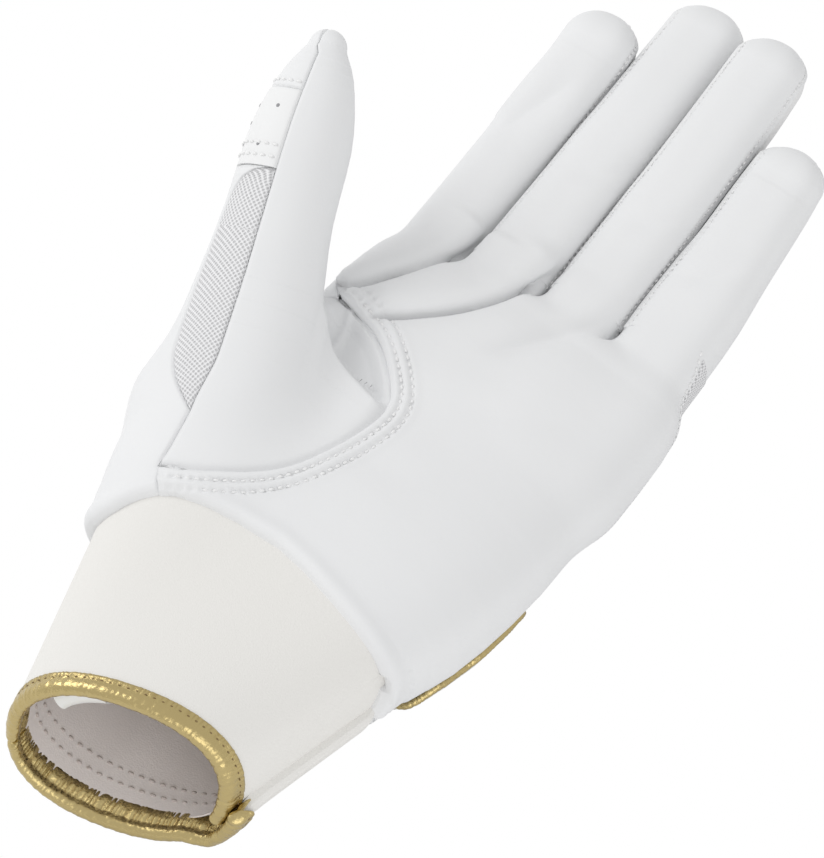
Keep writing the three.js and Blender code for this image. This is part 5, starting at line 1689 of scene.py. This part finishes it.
def strap_sheet(name, node, shares, ys, rise, thickness, material, sides, body, puff=0.0):
    """A layer of the strap or its closure, padded by puff; its grid, normals and edge distances."""
    grid = back_point(shares, ys, strap_turn)
    normals = grid_normals(grid, np.array([0, 0, -1.0]))
    centre_grid = grid + normals * rise[..., None]
    gaps = dict(zip("abcd", edge_distances(centre_grid)))
    drop = sum(tucked(gaps[side], 0.9, 0.7) for side in sides)
    pad = puff * smooth(np.min([gaps[side] for side in "ab"], axis=0) / 5)
    made = sheet(name, centre_grid + normals * (pad - drop)[..., None], centre_grid - normals * thickness, material)
    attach(made, body)
    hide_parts(node)
    return centre_grid, normals, gaps


strap_lines = (sum(strap_ys) + (strap_ys[1] - strap_ys[0]) * np.sin(np.radians(np.linspace(-90, 90, 60)))) / 2
root_shares = np.repeat(np.linspace(root_first, root_last, 130)[None], 60, 0)
root_ys = np.repeat(strap_lines[:, None], 130, 1)
root_grid, root_normals, root_gaps = strap_sheet(
    "strap_back", "strap_root", root_shares, root_ys, strap_rise(root_shares),
    strap_thick, strap_white, "abd", "hand", strap_puff)
end_shares = mix(strap_start(strap_lines)[:, None] + 0.003, tab_last, np.linspace(0, 1, 100)[None])
end_ys = np.repeat(mix(sum(strap_ys) / 2, strap_lines, 0.975)[:, None], 100, 1)
end_grid, end_normals, end_gaps = strap_sheet(
    "strap_tab", "strap_end", end_shares, end_ys, strap_rise(end_shares),
    strap_thick, strap_white, "", "strap_flap", strap_puff)
patch_ys, patch_shares = np.meshgrid(np.linspace(-14, 14, 40), np.linspace(0.1, 0.31, 50), indexing="ij")
for name, node, layer, body in (
        ("soft_tape", "loop_patch", 1, "hand"), ("hook_tape", "hook_patch", 2, "strap_flap")):
    patch_rise = np.full(patch_ys.shape, layer * (patch_thick + layer_gap))
    strap_sheet(name, node, patch_shares, patch_ys, patch_rise, patch_thick, tape_grey, "", body)

# The gold edge goes down one long side, round the free end and back along the other side
outline_shares = np.concatenate([
    np.linspace(binding_last, strap_start(strap_ys[0]), 60)[:-1], strap_start(strap_lines),
    np.linspace(strap_start(strap_ys[1]), binding_last, 60)[1:]])
outline_ys = np.concatenate([np.full(59, strap_ys[0]), strap_lines, np.full(59, strap_ys[1])])
outline = back_point(outline_shares, outline_ys, strap_turn)
outline_out = skin_out(outline)
outline = outline + outline_out * (strap_rise(outline_shares) - strap_thick / 2)[:, None]
steps_along = run_length(outline)
even = np.linspace(0, steps_along[-1], 520)
outline = np.stack([np.interp(even, steps_along, outline[:, k]) for k in range(3)], -1)
outline_out = unit(np.stack([np.interp(even, steps_along, outline_out[:, k]) for k in range(3)], -1))
outline_side = unit(np.cross(outline_out, np.gradient(outline, axis=0)))
if ((outline - outline.mean(0)) * outline_side).sum() < 0:
    outline_side = -outline_side
turns = np.radians(np.linspace(0, 360, 19)[:-1])
edge_profile = np.stack([np.cos(turns), 0.2 + 0.85 * np.sin(turns)], -1)
edge_folds = 0.5 * smooth(np.abs(np.cos(turns)) * 1.1)
strap_binding = rolled("strap_gold_edge", outline, outline_out, outline_side, edge_profile, edge_folds, gold_leather)
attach(strap_binding, "strap_flap")
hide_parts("strap_binding")


def strap_row(grid, normals, gaps, side, inset, columns):
    """A stitch row beside the strap's long edge, between two of its columns."""
    distance = gaps[side] if side == "a" else gaps[side][::-1]
    flip = slice(None) if side == "a" else slice(None, None, -1)
    first, last = columns
    return inset_row(grid[flip].swapaxes(0, 1), normals[flip].swapaxes(0, 1), distance.T, inset,
                     range(first, last), 30)


root_stitches = sewn("strap_root_stitches", [
    *(strap_row(root_grid + root_normals * 0.35, root_normals, root_gaps, side, 2.4, (11, 128)) for side in "ab"),
    (root_grid[5:-5, -7] + root_normals[5:-5, -7] * 0.4, root_normals[5:-5, -7])])
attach(root_stitches, "hand")
tab_stitches = sewn("strap_tab_stitches", [
    strap_row(end_grid + end_normals * 0.35, end_normals, end_gaps, side, 2.2, (22, 97)) for side in "ab"])
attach(tab_stitches, "strap_flap")

# ---------------------------------------------------------------------------
# Badge.
# A blank moulded rubber plate with a raised rim, glued to the strap.
badge_rubber, _, _ = new_material("badge_rubber", (0.78, 0.78, 0.79), 0.4)
badge_half, badge_round, badge_seat, badge_place = np.array([12.0, 10.0]), 4.0, -0.62, [-3, -1, 0]
badge_rings = [(0, 0), (0, 1.15), (0.15, 1.42), (0.45, 1.57), (0.9, 1.6), (1.3, 1.57), (1.55, 1.42), (1.7, 1.2),
               (2.1, 1.12), (5, 1.2), (8.5, 1.25)]
corner_turns = np.radians(np.linspace(0, 90, 13))


def badge_ring(inset, height):
    """A ring of the plate's rounded outline, at an inset from its edge and a height off the strap."""
    half, radius = badge_half - inset, max(badge_round - inset, 0.6)
    corners = []
    for quarter, (sx, sy) in enumerate(((1, 1), (-1, 1), (-1, -1), (1, -1))):
        a = corner_turns + quarter * np.pi / 2
        x, y = sx * (half[0] - radius) + radius * np.cos(a), sy * (half[1] - radius) + radius * np.sin(a)
        corners.append(np.stack([x, y, np.full_like(a, badge_seat - height)], -1))
    return np.concatenate(corners) + badge_place


rings = np.array([badge_ring(*ring) for ring in badge_rings])
n, m = rings.shape[:2]
ids = np.arange(n * m).reshape(n, m)
around = np.concatenate([ids, ids[:, :1]], 1)
badge_faces = np.stack([around[:-1, :-1], around[1:, :-1], around[1:, 1:], around[:-1, 1:]], -1).reshape(-1, 4)
badge_faces = [*badge_faces.tolist(), ids[0].tolist(), ids[-1, ::-1].tolist()]
badge = make_object("badge_plate", rings.reshape(-1, 3), badge_faces, badge_rubber)
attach(badge, "hand")
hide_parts("strap_badge")
